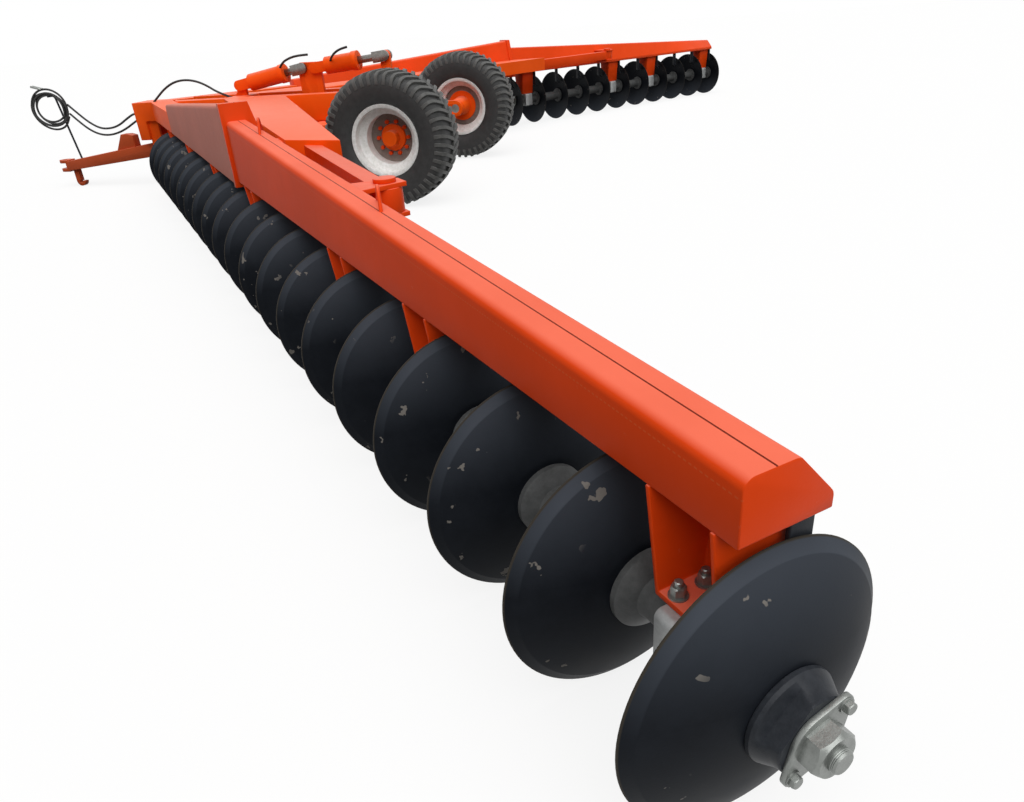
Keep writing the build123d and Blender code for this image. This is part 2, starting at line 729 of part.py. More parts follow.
def lifting_axle():
    """Rockshaft, wheel arms, stub axles and the lift lever."""
    pivot = fore(PIVOT_STATION)
    hub = fore(WHEEL_STATION)
    hub_height = TYRE_DIAMETER / 2
    shaft = across(ROCKSHAFT_DIAMETER / 2, ROCKSHAFT_HALF_LENGTH * 2, (0, pivot, PIVOT_HEIGHT))
    lever = lift_lever()
    keep("rockshaft", shaft + lever)
    half_shaft = WHEEL_ARM_BOSS / 2
    half_hub = WHEEL_ARM_HUB_WIDTH / 2
    arm = upright(
        [
            (pivot, PIVOT_HEIGHT + half_shaft),
            (hub, hub_height + half_hub),
            (hub, hub_height - half_hub),
            (pivot, PIVOT_HEIGHT - half_shaft),
        ],
        WHEEL_ARM_THICKNESS,
    )
    arm = arm + across(half_shaft, WHEEL_ARM_THICKNESS, (0, pivot, PIVOT_HEIGHT))
    arm = arm + across(half_hub, WHEEL_ARM_THICKNESS, (0, hub, hub_height))
    arm = arm - across(ROCKSHAFT_DIAMETER / 2, WHEEL_ARM_THICKNESS * 2, (0, pivot, PIVOT_HEIGHT))
    arm = arm - across(STUB_AXLE_DIAMETER / 2, WHEEL_ARM_THICKNESS * 2, (0, hub, hub_height))
    keep_pair("wheel_arms", Pos(-WHEEL_ARM_CENTRE, 0, 0) * arm)
    inner_end = WHEEL_ARM_CENTRE - WHEEL_ARM_THICKNESS / 2
    outer_end = WHEEL_TRACK_HALF + WHEEL_DISC_OFFSET
    length = outer_end - inner_end
    stub = across(STUB_AXLE_DIAMETER / 2, length, (-(inner_end + outer_end) / 2, hub, hub_height))
    keep_pair("stub_axles", stub)
    bearing = Box(
        ROCKSHAFT_BEARING_LENGTH,
        ROCKSHAFT_BEARING_WIDTH,
        SPINE_BOTTOM - PIVOT_HEIGHT + ROCKSHAFT_DIAMETER * 0.7,
    )
    middle = (SPINE_BOTTOM + PIVOT_HEIGHT - ROCKSHAFT_DIAMETER * 0.7) / 2
    bearing = Pos(-SPINE_CENTRE, pivot, middle) * bearing
    bore = across(
        ROCKSHAFT_DIAMETER / 2 + FIT, ROCKSHAFT_BEARING_LENGTH * 2, (-SPINE_CENTRE, pivot, PIVOT_HEIGHT)
    )
    keep_pair("rockshaft_bearings", bearing - bore)


def lift_lever():
    """Upright lever on the rockshaft that both cylinders act on."""
    pivot = fore(PIVOT_STATION)
    front = fore(LEVER_FRONT_PIN[0])
    rear = fore(LEVER_REAR_PIN[0])
    root = ROCKSHAFT_DIAMETER / 2
    middle = (front + rear) / 2
    rear_foot = (middle - LEVER_FLARE, LEVER_FLARE_HEIGHT)
    front_foot = (middle + LEVER_FLARE, LEVER_FLARE_HEIGHT)
    rear_waist = (rear - LEVER_EAR, LEVER_WAIST_HEIGHT)
    front_waist = (front + LEVER_EAR, LEVER_WAIST_HEIGHT)
    edges = [
        Line((pivot - root, PIVOT_HEIGHT), rear_foot),
        TangentArc(rear_waist, rear_foot, tangent=(0, -1)),
        Line(rear_waist, (rear - LEVER_EAR, LEVER_REAR_PIN[1])),
        Line((rear - LEVER_EAR, LEVER_REAR_PIN[1]), (rear - LEVER_EAR * 0.5, LEVER_REAR_PIN[1] + LEVER_EAR)),
        Line(
            (rear - LEVER_EAR * 0.5, LEVER_REAR_PIN[1] + LEVER_EAR),
            (front + LEVER_EAR * 0.5, LEVER_FRONT_PIN[1] + LEVER_EAR),
        ),
        Line((front + LEVER_EAR * 0.5, LEVER_FRONT_PIN[1] + LEVER_EAR), (front + LEVER_EAR, LEVER_FRONT_PIN[1])),
        Line((front + LEVER_EAR, LEVER_FRONT_PIN[1]), front_waist),
        TangentArc(front_waist, front_foot, tangent=(0, -1)),
        Line(front_foot, (pivot + root, PIVOT_HEIGHT)),
        Line((pivot + root, PIVOT_HEIGHT), (pivot - root, PIVOT_HEIGHT)),
    ]
    plate = extrude(Plane.YZ * make_face(edges), LEVER_THICKNESS / 2, both=True)
    slack = across(PIN_DIAMETER / 2 + PIN_SLACK, LEVER_THICKNESS * 2, (0, front, LEVER_FRONT_PIN[1]))
    snug = across(PIN_DIAMETER / 2 + FIT, LEVER_THICKNESS * 2, (0, rear, LEVER_REAR_PIN[1]))
    return plate - slack - snug


def fork(pin_to_root):
    """Fork that straddles a plate; pin at the origin, root along +X of its own frame."""
    ear_face = Plane.XZ * (
        Pos(pin_to_root / 2, 0) * Rectangle(pin_to_root, FORK_RADIUS * 2) + Circle(FORK_RADIUS)
    )
    gap = LEVER_THICKNESS / 2 + FORK_GAP
    ear = extrude(ear_face, -FORK_PLATE)
    ears = Pos(0, gap, 0) * ear + Pos(0, -gap - FORK_PLATE, 0) * ear
    root = Pos(pin_to_root - FORK_PLATE / 2, 0, 0)
    root = root * Box(FORK_PLATE, 2 * (gap + FORK_PLATE), FORK_RADIUS * 2)
    pin = Rot(90, 0, 0) * Cylinder(PIN_DIAMETER / 2, 2 * (gap + FORK_PLATE))
    return ears + root + pin


def cylinder_pieces(name, base, eye, length, rod_start):
    """Barrel and rod of a lift cylinder from its base pin to its rod's eye pin."""
    dy = fore(eye[0]) - fore(base[0])
    dz = eye[1] - base[1]
    run = math.hypot(dy, dz)
    rise = math.degrees(math.atan2(dz, dy))
    place = Location((0, fore(base[0]), base[1])) * Rot(rise, 0, 0) * Rot(0, 0, 90)
    barrel = Pos(BARREL_BASE + length / 2, 0, 0) * Rot(0, 90, 0)
    barrel = barrel * Cylinder(BARREL_DIAMETER / 2, length)
    gland = Pos(BARREL_BASE + length - GLAND_LENGTH / 2, 0, 0) * Rot(0, 90, 0)
    gland = gland * Cylinder(GLAND_DIAMETER / 2, GLAND_LENGTH)
    bore_length = length - FORK_PLATE
    bore = Pos(BARREL_BASE + FORK_PLATE + bore_length / 2, 0, 0) * Rot(0, 90, 0)
    bore = bore * Cylinder(ROD_DIAMETER / 2 + FIT, bore_length)
    keep("barrel_" + name, place * (fork(BARREL_BASE) + barrel + gland - bore))
    rod_end = run - BARREL_BASE + FORK_PLATE / 2
    rod = Pos((rod_start + rod_end) / 2, 0, 0) * Rot(0, 90, 0)
    rod = rod * Cylinder(ROD_DIAMETER / 2, rod_end - rod_start)
    eye_fork = Pos(run, 0, 0) * Rot(0, 0, 180) * fork(BARREL_BASE)
    keep("rod_" + name, place * (rod + eye_fork))


def cylinder_posts():
    """Posts on the spine's cross beams for the fixed ends of the cylinders."""
    front = fore(FRONT_CYLINDER_BASE[0])
    rear = fore(REAR_CYLINDER_EYE[0])
    posts = []
    for y, height, hole in (
        (front, FRONT_CYLINDER_BASE[1], PIN_DIAMETER / 2 + FIT),
        (rear, REAR_CYLINDER_EYE[1], PIN_DIAMETER / 2 + PIN_SLACK),
    ):
        foot = POST_FOOT if y > fore(PIVOT_STATION) else -POST_FOOT
        near, far = y - FORK_RADIUS, y + FORK_RADIUS
        plate = upright([(near, SPINE_TOP), (y, height), (y + foot, SPINE_TOP)], LEVER_THICKNESS)
        sides = [(near, SPINE_TOP), (near, height), (far, height), (far, SPINE_TOP)]
        plate = plate + upright(sides, LEVER_THICKNESS)
        plate = plate + across(FORK_RADIUS, LEVER_THICKNESS, (0, y, height))
        posts.append(plate - across(hole, LEVER_THICKNESS * 2, (0, y, height)))
    keep("cylinder_posts", *posts)


def wheels():
    """Tyre, rim and hub of each transport wheel."""
    half = TYRE_WIDTH / 2
    tread = TYRE_DIAMETER / 2
    seat = RIM_DIAMETER / 2
    flange = RIM_FLANGE_DIAMETER / 2
    rim_half = RIM_WIDTH / 2
    place = Location((-WHEEL_TRACK_HALF, fore(WHEEL_STATION), tread))

    def ring(edges):
        face = Plane.XZ * make_face(edges)
        return place * revolve(face, Axis.X)

    side = (seat + tread) / 2
    inside = rim_half - RIM_WALL
    tyre = ring(
        [
            Line((-inside, seat), (inside, seat)),
            Line((inside, seat), (inside, flange)),
            Line((inside, flange), (rim_half * 0.98, flange)),
            ThreePointArc(
                (rim_half * 0.98, flange),
                (half, side),
                (half - TYRE_SHOULDER * 0.6, tread - TYRE_SHOULDER),
            ),
            ThreePointArc(
                (half - TYRE_SHOULDER * 0.6, tread - TYRE_SHOULDER),
                (half - TYRE_SHOULDER, tread - TYRE_SHOULDER * 0.42),
                (half - TYRE_SHOULDER * 1.9, tread - TYRE_SHOULDER * 0.16),
            ),
            ThreePointArc(
                (half - TYRE_SHOULDER * 1.9, tread - TYRE_SHOULDER * 0.16),
                (0, tread),
                (-half + TYRE_SHOULDER * 1.9, tread - TYRE_SHOULDER * 0.16),
            ),
            ThreePointArc(
                (-half + TYRE_SHOULDER * 1.9, tread - TYRE_SHOULDER * 0.16),
                (-half + TYRE_SHOULDER, tread - TYRE_SHOULDER * 0.42),
                (-half + TYRE_SHOULDER * 0.6, tread - TYRE_SHOULDER),
            ),
            ThreePointArc(
                (-half + TYRE_SHOULDER * 0.6, tread - TYRE_SHOULDER),
                (-half, side),
                (-rim_half * 0.98, flange),
            ),
            Line((-rim_half * 0.98, flange), (-inside, flange)),
            Line((-inside, flange), (-inside, seat)),
        ]
    )
    keep_both("tyre", tyre)

    well = seat - RIM_WELL
    wall = RIM_WALL
    hub_hole = HUB_DIAMETER / 2
    disc_at_x = WHEEL_DISC_OFFSET
    disc_out = disc_at_x - WHEEL_DISC_THICKNESS / 2
    disc_in = disc_at_x + WHEEL_DISC_THICKNESS / 2
    bead = rim_half * RIM_BEAD_SHARE
    drop = rim_half * RIM_WELL_SHARE
    slant = math.hypot(bead - drop, seat - well)
    shift = wall * (slant - bead + drop) / (seat - well)
    rim_points = [
        (-rim_half, flange),
        (-inside, flange),
        (-inside, seat),
        (-bead, seat),
        (-drop, well),
        (drop, well),
        (bead, seat),
        (inside, seat),
        (inside, flange),
        (rim_half, flange),
        (rim_half, seat - wall),
        (bead + shift, seat - wall),
        (drop + shift, well - wall),
        (disc_in, well - wall),
        (disc_in, hub_hole),
        (disc_out, hub_hole),
        (disc_out, well - wall),
        (-drop - shift, well - wall),
        (-bead - shift, seat - wall),
        (-rim_half, seat - wall),
    ]
    keep_both("rim", place * revolve(Plane.XZ * outline(rim_points), Axis.X))

    stub = STUB_AXLE_DIAMETER / 2 + FIT
    face = disc_at_x - WHEEL_DISC_THICKNESS / 2
    inner_face = WHEEL_TRACK_HALF - WHEEL_ARM_CENTRE - WHEEL_ARM_THICKNESS / 2 - 2 * FORK_GAP
    cap_end = face - HUB_CAP_LENGTH
    cap_room = -WHEEL_DISC_OFFSET - TOUCH
    hub_points = [
        (inner_face, stub),
        (inner_face, HUB_DIAMETER / 2 * 0.8),
        (face + WHEEL_DISC_THICKNESS + HUB_FLANGE_THICKNESS, HUB_DIAMETER / 2),
        (face + WHEEL_DISC_THICKNESS + HUB_FLANGE_THICKNESS, HUB_FLANGE_DIAMETER / 2),
        (face + WHEEL_DISC_THICKNESS, HUB_FLANGE_DIAMETER / 2),
        (face + WHEEL_DISC_THICKNESS, HUB_DIAMETER / 2),
        (face, HUB_DIAMETER / 2),
        (face - HUB_FLANGE_THICKNESS, HUB_CAP_DIAMETER / 2),
        (cap_end + cap_room, HUB_CAP_DIAMETER / 2),
        (cap_end + cap_room, 0),
        (cap_room, 0),
        (cap_room, stub),
    ]
    keep_both("hub", place * revolve(Plane.XZ * outline(hub_points), Axis.X))


def tongue():
    """Tongue beam, its hinge pin, hitch and parking hook."""
    hinge = fore(HINGE_STATION)
    end = fore(TONGUE_END_STATION)
    rear_half = TONGUE_REAR_HEIGHT / 2
    front_half = TONGUE_FRONT_HEIGHT / 2
    beam = upright_tongue()
    pin_length = HINGE_EAR_GAP + 2 * HINGE_EAR_PLATE
    pin = across(HINGE_PIN / 2, pin_length, (0, hinge, HINGE_HEIGHT))
    keep("tongue_beam", beam + pin)
    start = fore(TONGUE_BRACKET_STATION)
    length = TONGUE_BRACKET_LENGTH
    slope = (TONGUE_END_HEIGHT + front_half - HINGE_HEIGHT - rear_half) / (end - hinge)

    def top_at(y):
        return HINGE_HEIGHT + rear_half + (y - hinge) * slope

    bracket = upright(
        [
            (start, top_at(start)),
            (start, TONGUE_BRACKET_TOP * 0.97),
            (start + length * 0.25, TONGUE_BRACKET_TOP),
            (start + length * 0.6, TONGUE_BRACKET_TOP),
            (start + length, top_at(start + length)),
        ],
        HITCH_WIDTH * 0.8,
    )
    keep("tongue_bracket", bracket)
    pin_y = fore(HITCH_PIN_STATION)
    half = HITCH_WIDTH / 2
    nose_round = HITCH_NOSE
    jaws = []
    for low in (
        TONGUE_END_HEIGHT + HITCH_GAP / 2,
        TONGUE_END_HEIGHT - HITCH_GAP / 2 - HITCH_PLATE,
    ):
        plan = Pos((end + pin_y) / 2, 0) * Rectangle(pin_y - end, HITCH_WIDTH)
        plan = plan + Pos(pin_y, 0) * Circle(nose_round)
        plan = plan - Pos(pin_y, 0) * Circle(HITCH_PIN_DIAMETER / 2)
        jaw = extrude(plan, HITCH_PLATE)
        jaws.append(Pos(0, 0, low) * Rot(0, 0, 90) * jaw)
    back = Box(HITCH_WIDTH, HITCH_PLATE, HITCH_GAP + 2 * HITCH_PLATE)
    back = Pos(0, end + HITCH_PLATE / 2, TONGUE_END_HEIGHT) * back
    keep("hitch", back + jaws[0] + jaws[1])
    foot_y = fore(FOOT_STATION)
    keep("parking_hook", hook_solid(foot_y))


def tongue_bottom_at(y):
    """Height of the tongue's underside."""
    hinge = fore(HINGE_STATION)
    end = fore(TONGUE_END_STATION)
    rear = HINGE_HEIGHT - TONGUE_REAR_HEIGHT / 2
    front = TONGUE_END_HEIGHT - TONGUE_FRONT_HEIGHT / 2
    return rear + (y - hinge) / (end - hinge) * (front - rear)


def hook_solid(foot_y):
    """Bent parking hook below the tongue: a straight shank and a half-round heel."""
    half = FOOT_THICKNESS / 2
    shank = upright(
        [
            (foot_y - half, FOOT_BEND),
            (foot_y + half, FOOT_BEND),
            (foot_y + half, tongue_bottom_at(foot_y + half)),
            (foot_y - half, tongue_bottom_at(foot_y - half)),
        ],
        FOOT_THICKNESS,
    )
    centre = foot_y + half - FOOT_BEND
    heel = across(FOOT_BEND, FOOT_THICKNESS, (0, centre, FOOT_BEND))
    eye = across(FOOT_BEND - FOOT_THICKNESS * 0.6, FOOT_THICKNESS * 2, (0, centre, FOOT_BEND))
    gap = Pos(0, centre - FOOT_BEND / 2, FOOT_BEND * 1.5) * Box(FOOT_THICKNESS * 2, FOOT_BEND, FOOT_BEND)
    return shank + (heel - eye - gap)


def hose(name, route):
    """Hose tube along a route, its corners rounded as far as the runs allow."""
    points = [Vector(x, fore(station), height) for x, station, height in route]
    radii = []
    for before, corner, after in zip(points, points[1:], points[2:]):
        turn = (corner - before).get_angle(after - corner)
        shorter = min((corner - before).length, (after - corner).length)
        radii.append(0.45 * shorter / math.tan(math.radians(turn / 2)))
    path = FilletPolyline(*points, radius=radii)
    start = Plane(origin=points[0], z_dir=points[1] - points[0])
    print(name, "length", round(path.length), "radii", [round(r) for r in radii])
    keep(name, sweep(start * Circle(HOSE / 2), path=path))


def tongue_hoses():
    """Hose stand on the tongue with the coiled hoses and couplers it carries."""
    front_half = TONGUE_FRONT_HEIGHT / 2
    rear_half = TONGUE_REAR_HEIGHT / 2
    hinge = fore(HINGE_STATION)
    end = fore(TONGUE_END_STATION)
    foot = fore(STAND_FOOT[1])
    share = (foot - hinge) / (end - hinge)
    rear_top = HINGE_HEIGHT + rear_half
    seat = rear_top + share * (TONGUE_END_HEIGHT + front_half - rear_top)
    top = Vector(STAND_TOP[0], fore(STAND_TOP[1]), STAND_TOP[2])
    bottom = Vector(STAND_FOOT[0], foot, seat)
    lean = top - bottom
    bottom = bottom - lean.normalized() * STAND_ROD
    path = FilletPolyline(bottom, top, top - Vector(STAND_PEG, 0, 0), radius=STAND_BEND)
    rod = sweep(Plane(origin=bottom, z_dir=lean) * Circle(STAND_ROD / 2), path=path)
    keep("hose_stand", rod - upright_tongue())
    middle = Pos(fore(COIL_MIDDLE[0]), COIL_MIDDLE[1]) * Ellipse(*COIL_SPREAD)
    hole = Pos(fore(COIL_HOLE_MIDDLE[0]), COIL_HOLE_MIDDLE[1]) * Ellipse(*COIL_HOLE)
    ring = extrude(Plane.YZ * (middle - hole), -COIL_WIDTH)
    keep("hose_coil", Pos(COIL_NEAR, 0, 0) * ring)
    couplers = []
    for x in COUPLER_OFFSETS:
        place = Pos(x, fore(COUPLER_START[0]), COUPLER_START[1]) * Rot(-90 + COUPLER_RISE, 0, 0)
        body = Cylinder(COUPLER_DIAMETER / 2 * 0.6, COUPLER_LENGTH)
        couplers.append(place * Pos(0, 0, COUPLER_LENGTH / 2) * body)
    keep("hose_couplers", *couplers)
    hose("hose_upper", HOSE_UPPER)
    hose("hose_lower", HOSE_LOWER)


def upright_tongue():
    """Body of the tongue beam."""
    hinge = fore(HINGE_STATION)
    end = fore(TONGUE_END_STATION)
    rear_half = TONGUE_REAR_HEIGHT / 2
    front_half = TONGUE_FRONT_HEIGHT / 2
    return upright(
        [
            (hinge - rear_half, HINGE_HEIGHT),
            (hinge, HINGE_HEIGHT - rear_half),
            (end, TONGUE_END_HEIGHT - front_half),
            (end, TONGUE_END_HEIGHT + front_half),
            (hinge, HINGE_HEIGHT + rear_half),
        ],
        TONGUE_WIDTH,
    )


gang("outer", 0, OUTER_DISCS)
gang("inner", OUTER_DISCS, INNER_DISCS)
gang_beams()
standards()
centre_frame()
frame_ties()
nose()
braces()
lifting_axle()
cylinder_posts()
cylinder_pieces("front", FRONT_CYLINDER_BASE, LEVER_FRONT_PIN, FRONT_BARREL_LENGTH, FRONT_ROD_START)
cylinder_pieces("rear", LEVER_REAR_PIN, REAR_CYLINDER_EYE, REAR_BARREL_LENGTH, REAR_ROD_START)
wheels()
tongue()
tongue_hoses()
hose("hose_arch", HOSE_ARCH)
hose("hose_whip_front", HOSE_WHIP_FRONT)
hose("hose_whip_rear", HOSE_WHIP_REAR)

os.makedirs("parts", exist_ok=True)
for node, solids in NODES.items():
    export_step(solids[0] if len(solids) == 1 else Compound(solids), f"parts/{node}.step")
print(len(NODES), "nodes")
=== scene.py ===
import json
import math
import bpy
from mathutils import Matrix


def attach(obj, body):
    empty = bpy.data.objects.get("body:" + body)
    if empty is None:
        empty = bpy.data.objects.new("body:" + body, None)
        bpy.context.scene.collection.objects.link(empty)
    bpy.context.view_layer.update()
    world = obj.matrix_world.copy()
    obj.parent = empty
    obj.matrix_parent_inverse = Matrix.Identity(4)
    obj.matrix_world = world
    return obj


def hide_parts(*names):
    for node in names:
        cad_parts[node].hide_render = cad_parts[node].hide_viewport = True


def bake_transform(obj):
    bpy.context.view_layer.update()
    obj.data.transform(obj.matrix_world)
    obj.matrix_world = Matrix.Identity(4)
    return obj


bl_info = {
    "name": "Trailed disc harrow",
    "version": (1, 0, 0),
    "blender": (4, 5, 0),
    "location": "View3D > Sidebar > Harrow",
    "description": "Dresses the packed disc harrow with its discs, paint, wheels and hoses",
    "category": "Object",
}

import bmesh
import bpy
from mathutils import Matrix, Vector

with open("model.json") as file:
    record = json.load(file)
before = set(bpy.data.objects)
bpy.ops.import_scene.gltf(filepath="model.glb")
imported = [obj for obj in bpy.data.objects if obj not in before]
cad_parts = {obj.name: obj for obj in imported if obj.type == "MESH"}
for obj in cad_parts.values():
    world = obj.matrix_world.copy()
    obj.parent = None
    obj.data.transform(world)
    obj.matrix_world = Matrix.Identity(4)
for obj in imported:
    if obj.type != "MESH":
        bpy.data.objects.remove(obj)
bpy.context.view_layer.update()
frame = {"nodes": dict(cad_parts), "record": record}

# The left arm's own frame: along the gang from the outermost disc, ahead of its axis, up
OVERALL_LENGTH = 7.702
GANG_ANGLE = math.radians(41.1)
ARM_REACH = 6.796
ARM_STATION = 0.2521713
ARM_END = Vector((-ARM_REACH, ARM_STATION - OVERALL_LENGTH / 2, 0.0))
ARM = Matrix.Translation(ARM_END) @ Matrix.Rotation(GANG_ANGLE, 4, "Z")
AXIS_UP = Matrix.Translation((0.0, 0.0, 0.33))
SIDES = (("left", Matrix.Identity(4)), ("right", Matrix.Scale(-1.0, 4, Vector((1.0, 0.0, 0.0)))))
# Name, first disc and number of discs of the gangs on an arm
GANGS = (("outer", 0, 11), ("inner", 11, 9))
MATERIALS = {}


def hex_colour(text):
    """Linear colour of an sRGB hex value."""
    values = [int(text[i:i + 2], 16) / 255.0 for i in (1, 3, 5)]
    linear = [v / 12.92 if v <= 0.04045 else ((v + 0.055) / 1.055) ** 2.4 for v in values]
    return (*linear, 1.0)


def add_node(tree, kind, settings=()):
    """Adds a node; a setting is a property, an input's value or a socket to link to that input."""
    node = tree.nodes.new(kind)
    for key, value in dict(settings).items():
        if isinstance(value, bpy.types.NodeSocket):
            tree.links.new(value, node.inputs[key])
        elif isinstance(key, str) and hasattr(node, key):
            setattr(node, key, value)
        else:
            node.inputs[key].default_value = value
    return node


class HarrowSizes(bpy.types.PropertyGroup):
    """Sizes of the pieces that are made here."""

    disc_radius: bpy.props.FloatProperty(
        name="Disc radius", description="Radius of a disc",
        default=0.330, subtype="DISTANCE", unit="LENGTH",
    )
    disc_spacing: bpy.props.FloatProperty(
        name="Disc spacing", description="Distance between discs",
        default=0.423, subtype="DISTANCE", unit="LENGTH",
    )
    tyre_radius: bpy.props.FloatProperty(
        name="Tyre radius", description="Radius to the tread's top",
        default=0.575, subtype="DISTANCE", unit="LENGTH",
    )
    tyre_lugs: bpy.props.IntProperty(
        name="Lugs", description="Lugs round one side of a tyre", default=46, min=12, max=80
    )
    hose_diameter: bpy.props.FloatProperty(
        name="Hose diameter", description="Outside of a hose",
        default=0.022, subtype="DISTANCE", unit="LENGTH",
    )
    edge: bpy.props.FloatProperty(
        name="Edge", description="Rounding of plate edges",
        default=0.003, subtype="DISTANCE", unit="LENGTH",
    )


class HarrowColours(bpy.types.PropertyGroup):
    """Base colours of the finishes."""

    paint: bpy.props.FloatVectorProperty(
        name="Paint", description="Frame paint",
        subtype="COLOR", size=4, default=hex_colour("#e0430b"),
    )
    frame: bpy.props.FloatVectorProperty(
        name="Frame paint", description="Fresher paint of the centre frame",
        subtype="COLOR", size=4, default=hex_colour("#f4560c"),
    )
    worn: bpy.props.FloatVectorProperty(
        name="Worn paint", description="Weathered paint",
        subtype="COLOR", size=4, default=hex_colour("#b8614c"),
    )
    disc: bpy.props.FloatVectorProperty(
        name="Disc", description="Disc coating",
        subtype="COLOR", size=4, default=hex_colour("#13161b"),
    )
    tyre: bpy.props.FloatVectorProperty(
        name="Tyre", description="Tyre rubber",
        subtype="COLOR", size=4, default=hex_colour("#252525"),
    )
    tread: bpy.props.FloatVectorProperty(
        name="Tread", description="Dusty tops of the lugs",
        subtype="COLOR", size=4, default=hex_colour("#454543"),
    )
    rim: bpy.props.FloatVectorProperty(
        name="Rim", description="Rim paint",
        subtype="COLOR", size=4, default=hex_colour("#dcddd8"),
    )


def lighter(colour, gain, lift):
    """Colour with its light multiplied and raised."""
    return tuple(min(1.0, c * gain + lift) for c in colour[:3]) + (1.0,)


def new_material(name):
    """Empty node material with its shader, output and object coordinates."""
    material = bpy.data.materials.new(name)
    material.use_nodes = True
    tree = material.node_tree
    tree.nodes.clear()
    shader = add_node(tree, "ShaderNodeBsdfPrincipled")
    add_node(tree, "ShaderNodeOutputMaterial", {"Surface": shader.outputs["BSDF"]})
    place = add_node(tree, "ShaderNodeTexCoord").outputs["Object"]
    MATERIALS[name] = material
    return tree, shader, place


def mottled(tree, place, noise, low, high, first, second):
    """Cloudy noise, and two colours blended as the noise goes from low to high."""
    cloud = add_node(tree, "ShaderNodeTexNoise", {**noise, "Vector": place}).outputs["Fac"]
    share = add_node(tree, "ShaderNodeMapRange", {0: cloud, 1: low, 2: high}).outputs[0]
    blend = add_node(tree, "ShaderNodeMix", {"data_type": "RGBA", 0: share, 6: first, 7: second})
    return cloud, blend.outputs[2]


def facing_up(tree, low, high):
    """Share from 0 to 1 as a face's normal rises from low to high."""
    normal = add_node(tree, "ShaderNodeTexCoord").outputs["Normal"]
    up = add_node(tree, "ShaderNodeSeparateXYZ", {0: normal}).outputs["Z"]
    return add_node(tree, "ShaderNodeMapRange", {0: up, 1: low, 2: high}).outputs[0]


def coated(tree, shader, coat, tone, low, high, gloss):
    """Gives a shader its colour, a roughness from low to high by a noise, and its gloss."""
    rough = add_node(tree, "ShaderNodeMapRange", {0: tone, 3: low, 4: high}).outputs[0]
    tree.links.new(coat, shader.inputs["Base Color"])
    tree.links.new(rough, shader.inputs["Roughness"])
    shader.inputs["Specular IOR Level"].default_value = gloss


def grainy(tree, shader, place, scale, detail, height, strength):
    """Bumps of a real height in metres on a shader."""
    grain = add_node(tree, "ShaderNodeTexNoise", {"Scale": scale, "Detail": detail, "Vector": place})
    bump = add_node(tree, "ShaderNodeBump",
                    {"Distance": height, "Strength": strength, "Height": grain.outputs["Fac"]})
    tree.links.new(bump.outputs["Normal"], shader.inputs["Normal"])


def arm_across(tree, place):
    """Distance along an arm, ahead of its disc axis and up, for a point on either side."""
    parts = add_node(tree, "ShaderNodeSeparateXYZ", {0: place}).outputs
    out = add_node(tree, "ShaderNodeMath", {"operation": "ABSOLUTE", 0: parts["X"]}).outputs[0]
    x = add_node(tree, "ShaderNodeMath", {"operation": "SUBTRACT", 0: -ARM_END.x, 1: out}).outputs[0]
    y = add_node(tree, "ShaderNodeMath", {"operation": "SUBTRACT", 0: parts["Y"], 1: ARM_END.y}).outputs[0]
    flat = add_node(tree, "ShaderNodeCombineXYZ", {0: x, 1: y}).outputs[0]
    turned = add_node(tree, "ShaderNodeVectorRotate",
                      {"rotation_type": "Z_AXIS", "Vector": flat, "Angle": -GANG_ANGLE}).outputs[0]
    result = add_node(tree, "ShaderNodeSeparateXYZ", {0: turned}).outputs
    return result["X"], result["Y"], parts["Z"]


def seamed(tree, place, coat):
    """Coat with the seams of a gang beam: the lap of its two bent plates and a row of welds."""
    along, ahead, level = arm_across(tree, place)
    # Lap 70 mm behind the front edge of the top, 4.4 mm wide
    lap = add_node(tree, "ShaderNodeMath", {"operation": "COMPARE", 0: ahead, 1: 0.022, 2: 0.0022})
    lap = add_node(tree, "ShaderNodeMath",
                   {"operation": "MULTIPLY", 0: lap.outputs[0], 1: facing_up(tree, 0.5, 0.9)})
    # Stitch-like row of welds 39 mm below the front edge, 14 mm apart
    rise = add_node(tree, "ShaderNodeMath", {"operation": "MULTIPLY_ADD", 0: along, 1: -0.0483, 2: -0.806})
    below = add_node(tree, "ShaderNodeMath", {"operation": "ADD", 0: level, 1: rise.outputs[0]})
    weld = add_node(tree, "ShaderNodeMath", {"operation": "COMPARE", 0: below.outputs[0], 1: 0.0, 2: 0.0018})
    pitch = add_node(tree, "ShaderNodeMath", {"operation": "PINGPONG", 0: along, 1: 0.007})
    stitch = add_node(tree, "ShaderNodeMapRange", {0: pitch.outputs[0], 1: 0.002, 2: 0.004}).outputs[0]
    front = add_node(tree, "ShaderNodeMapRange", {0: ahead, 1: 0.090, 2: 0.094}).outputs[0]
    for share in (stitch, front, 0.55):
        weld = add_node(tree, "ShaderNodeMath", {"operation": "MULTIPLY", 0: weld.outputs[0], 1: share})
    for mark, colour in ((lap, "#6d1c08"), (weld, "#e0653a")):
        settings = {"data_type": "RGBA", 0: mark.outputs[0], 6: coat, 7: hex_colour(colour)}
        coat = add_node(tree, "ShaderNodeMix", settings).outputs[2]
    return coat


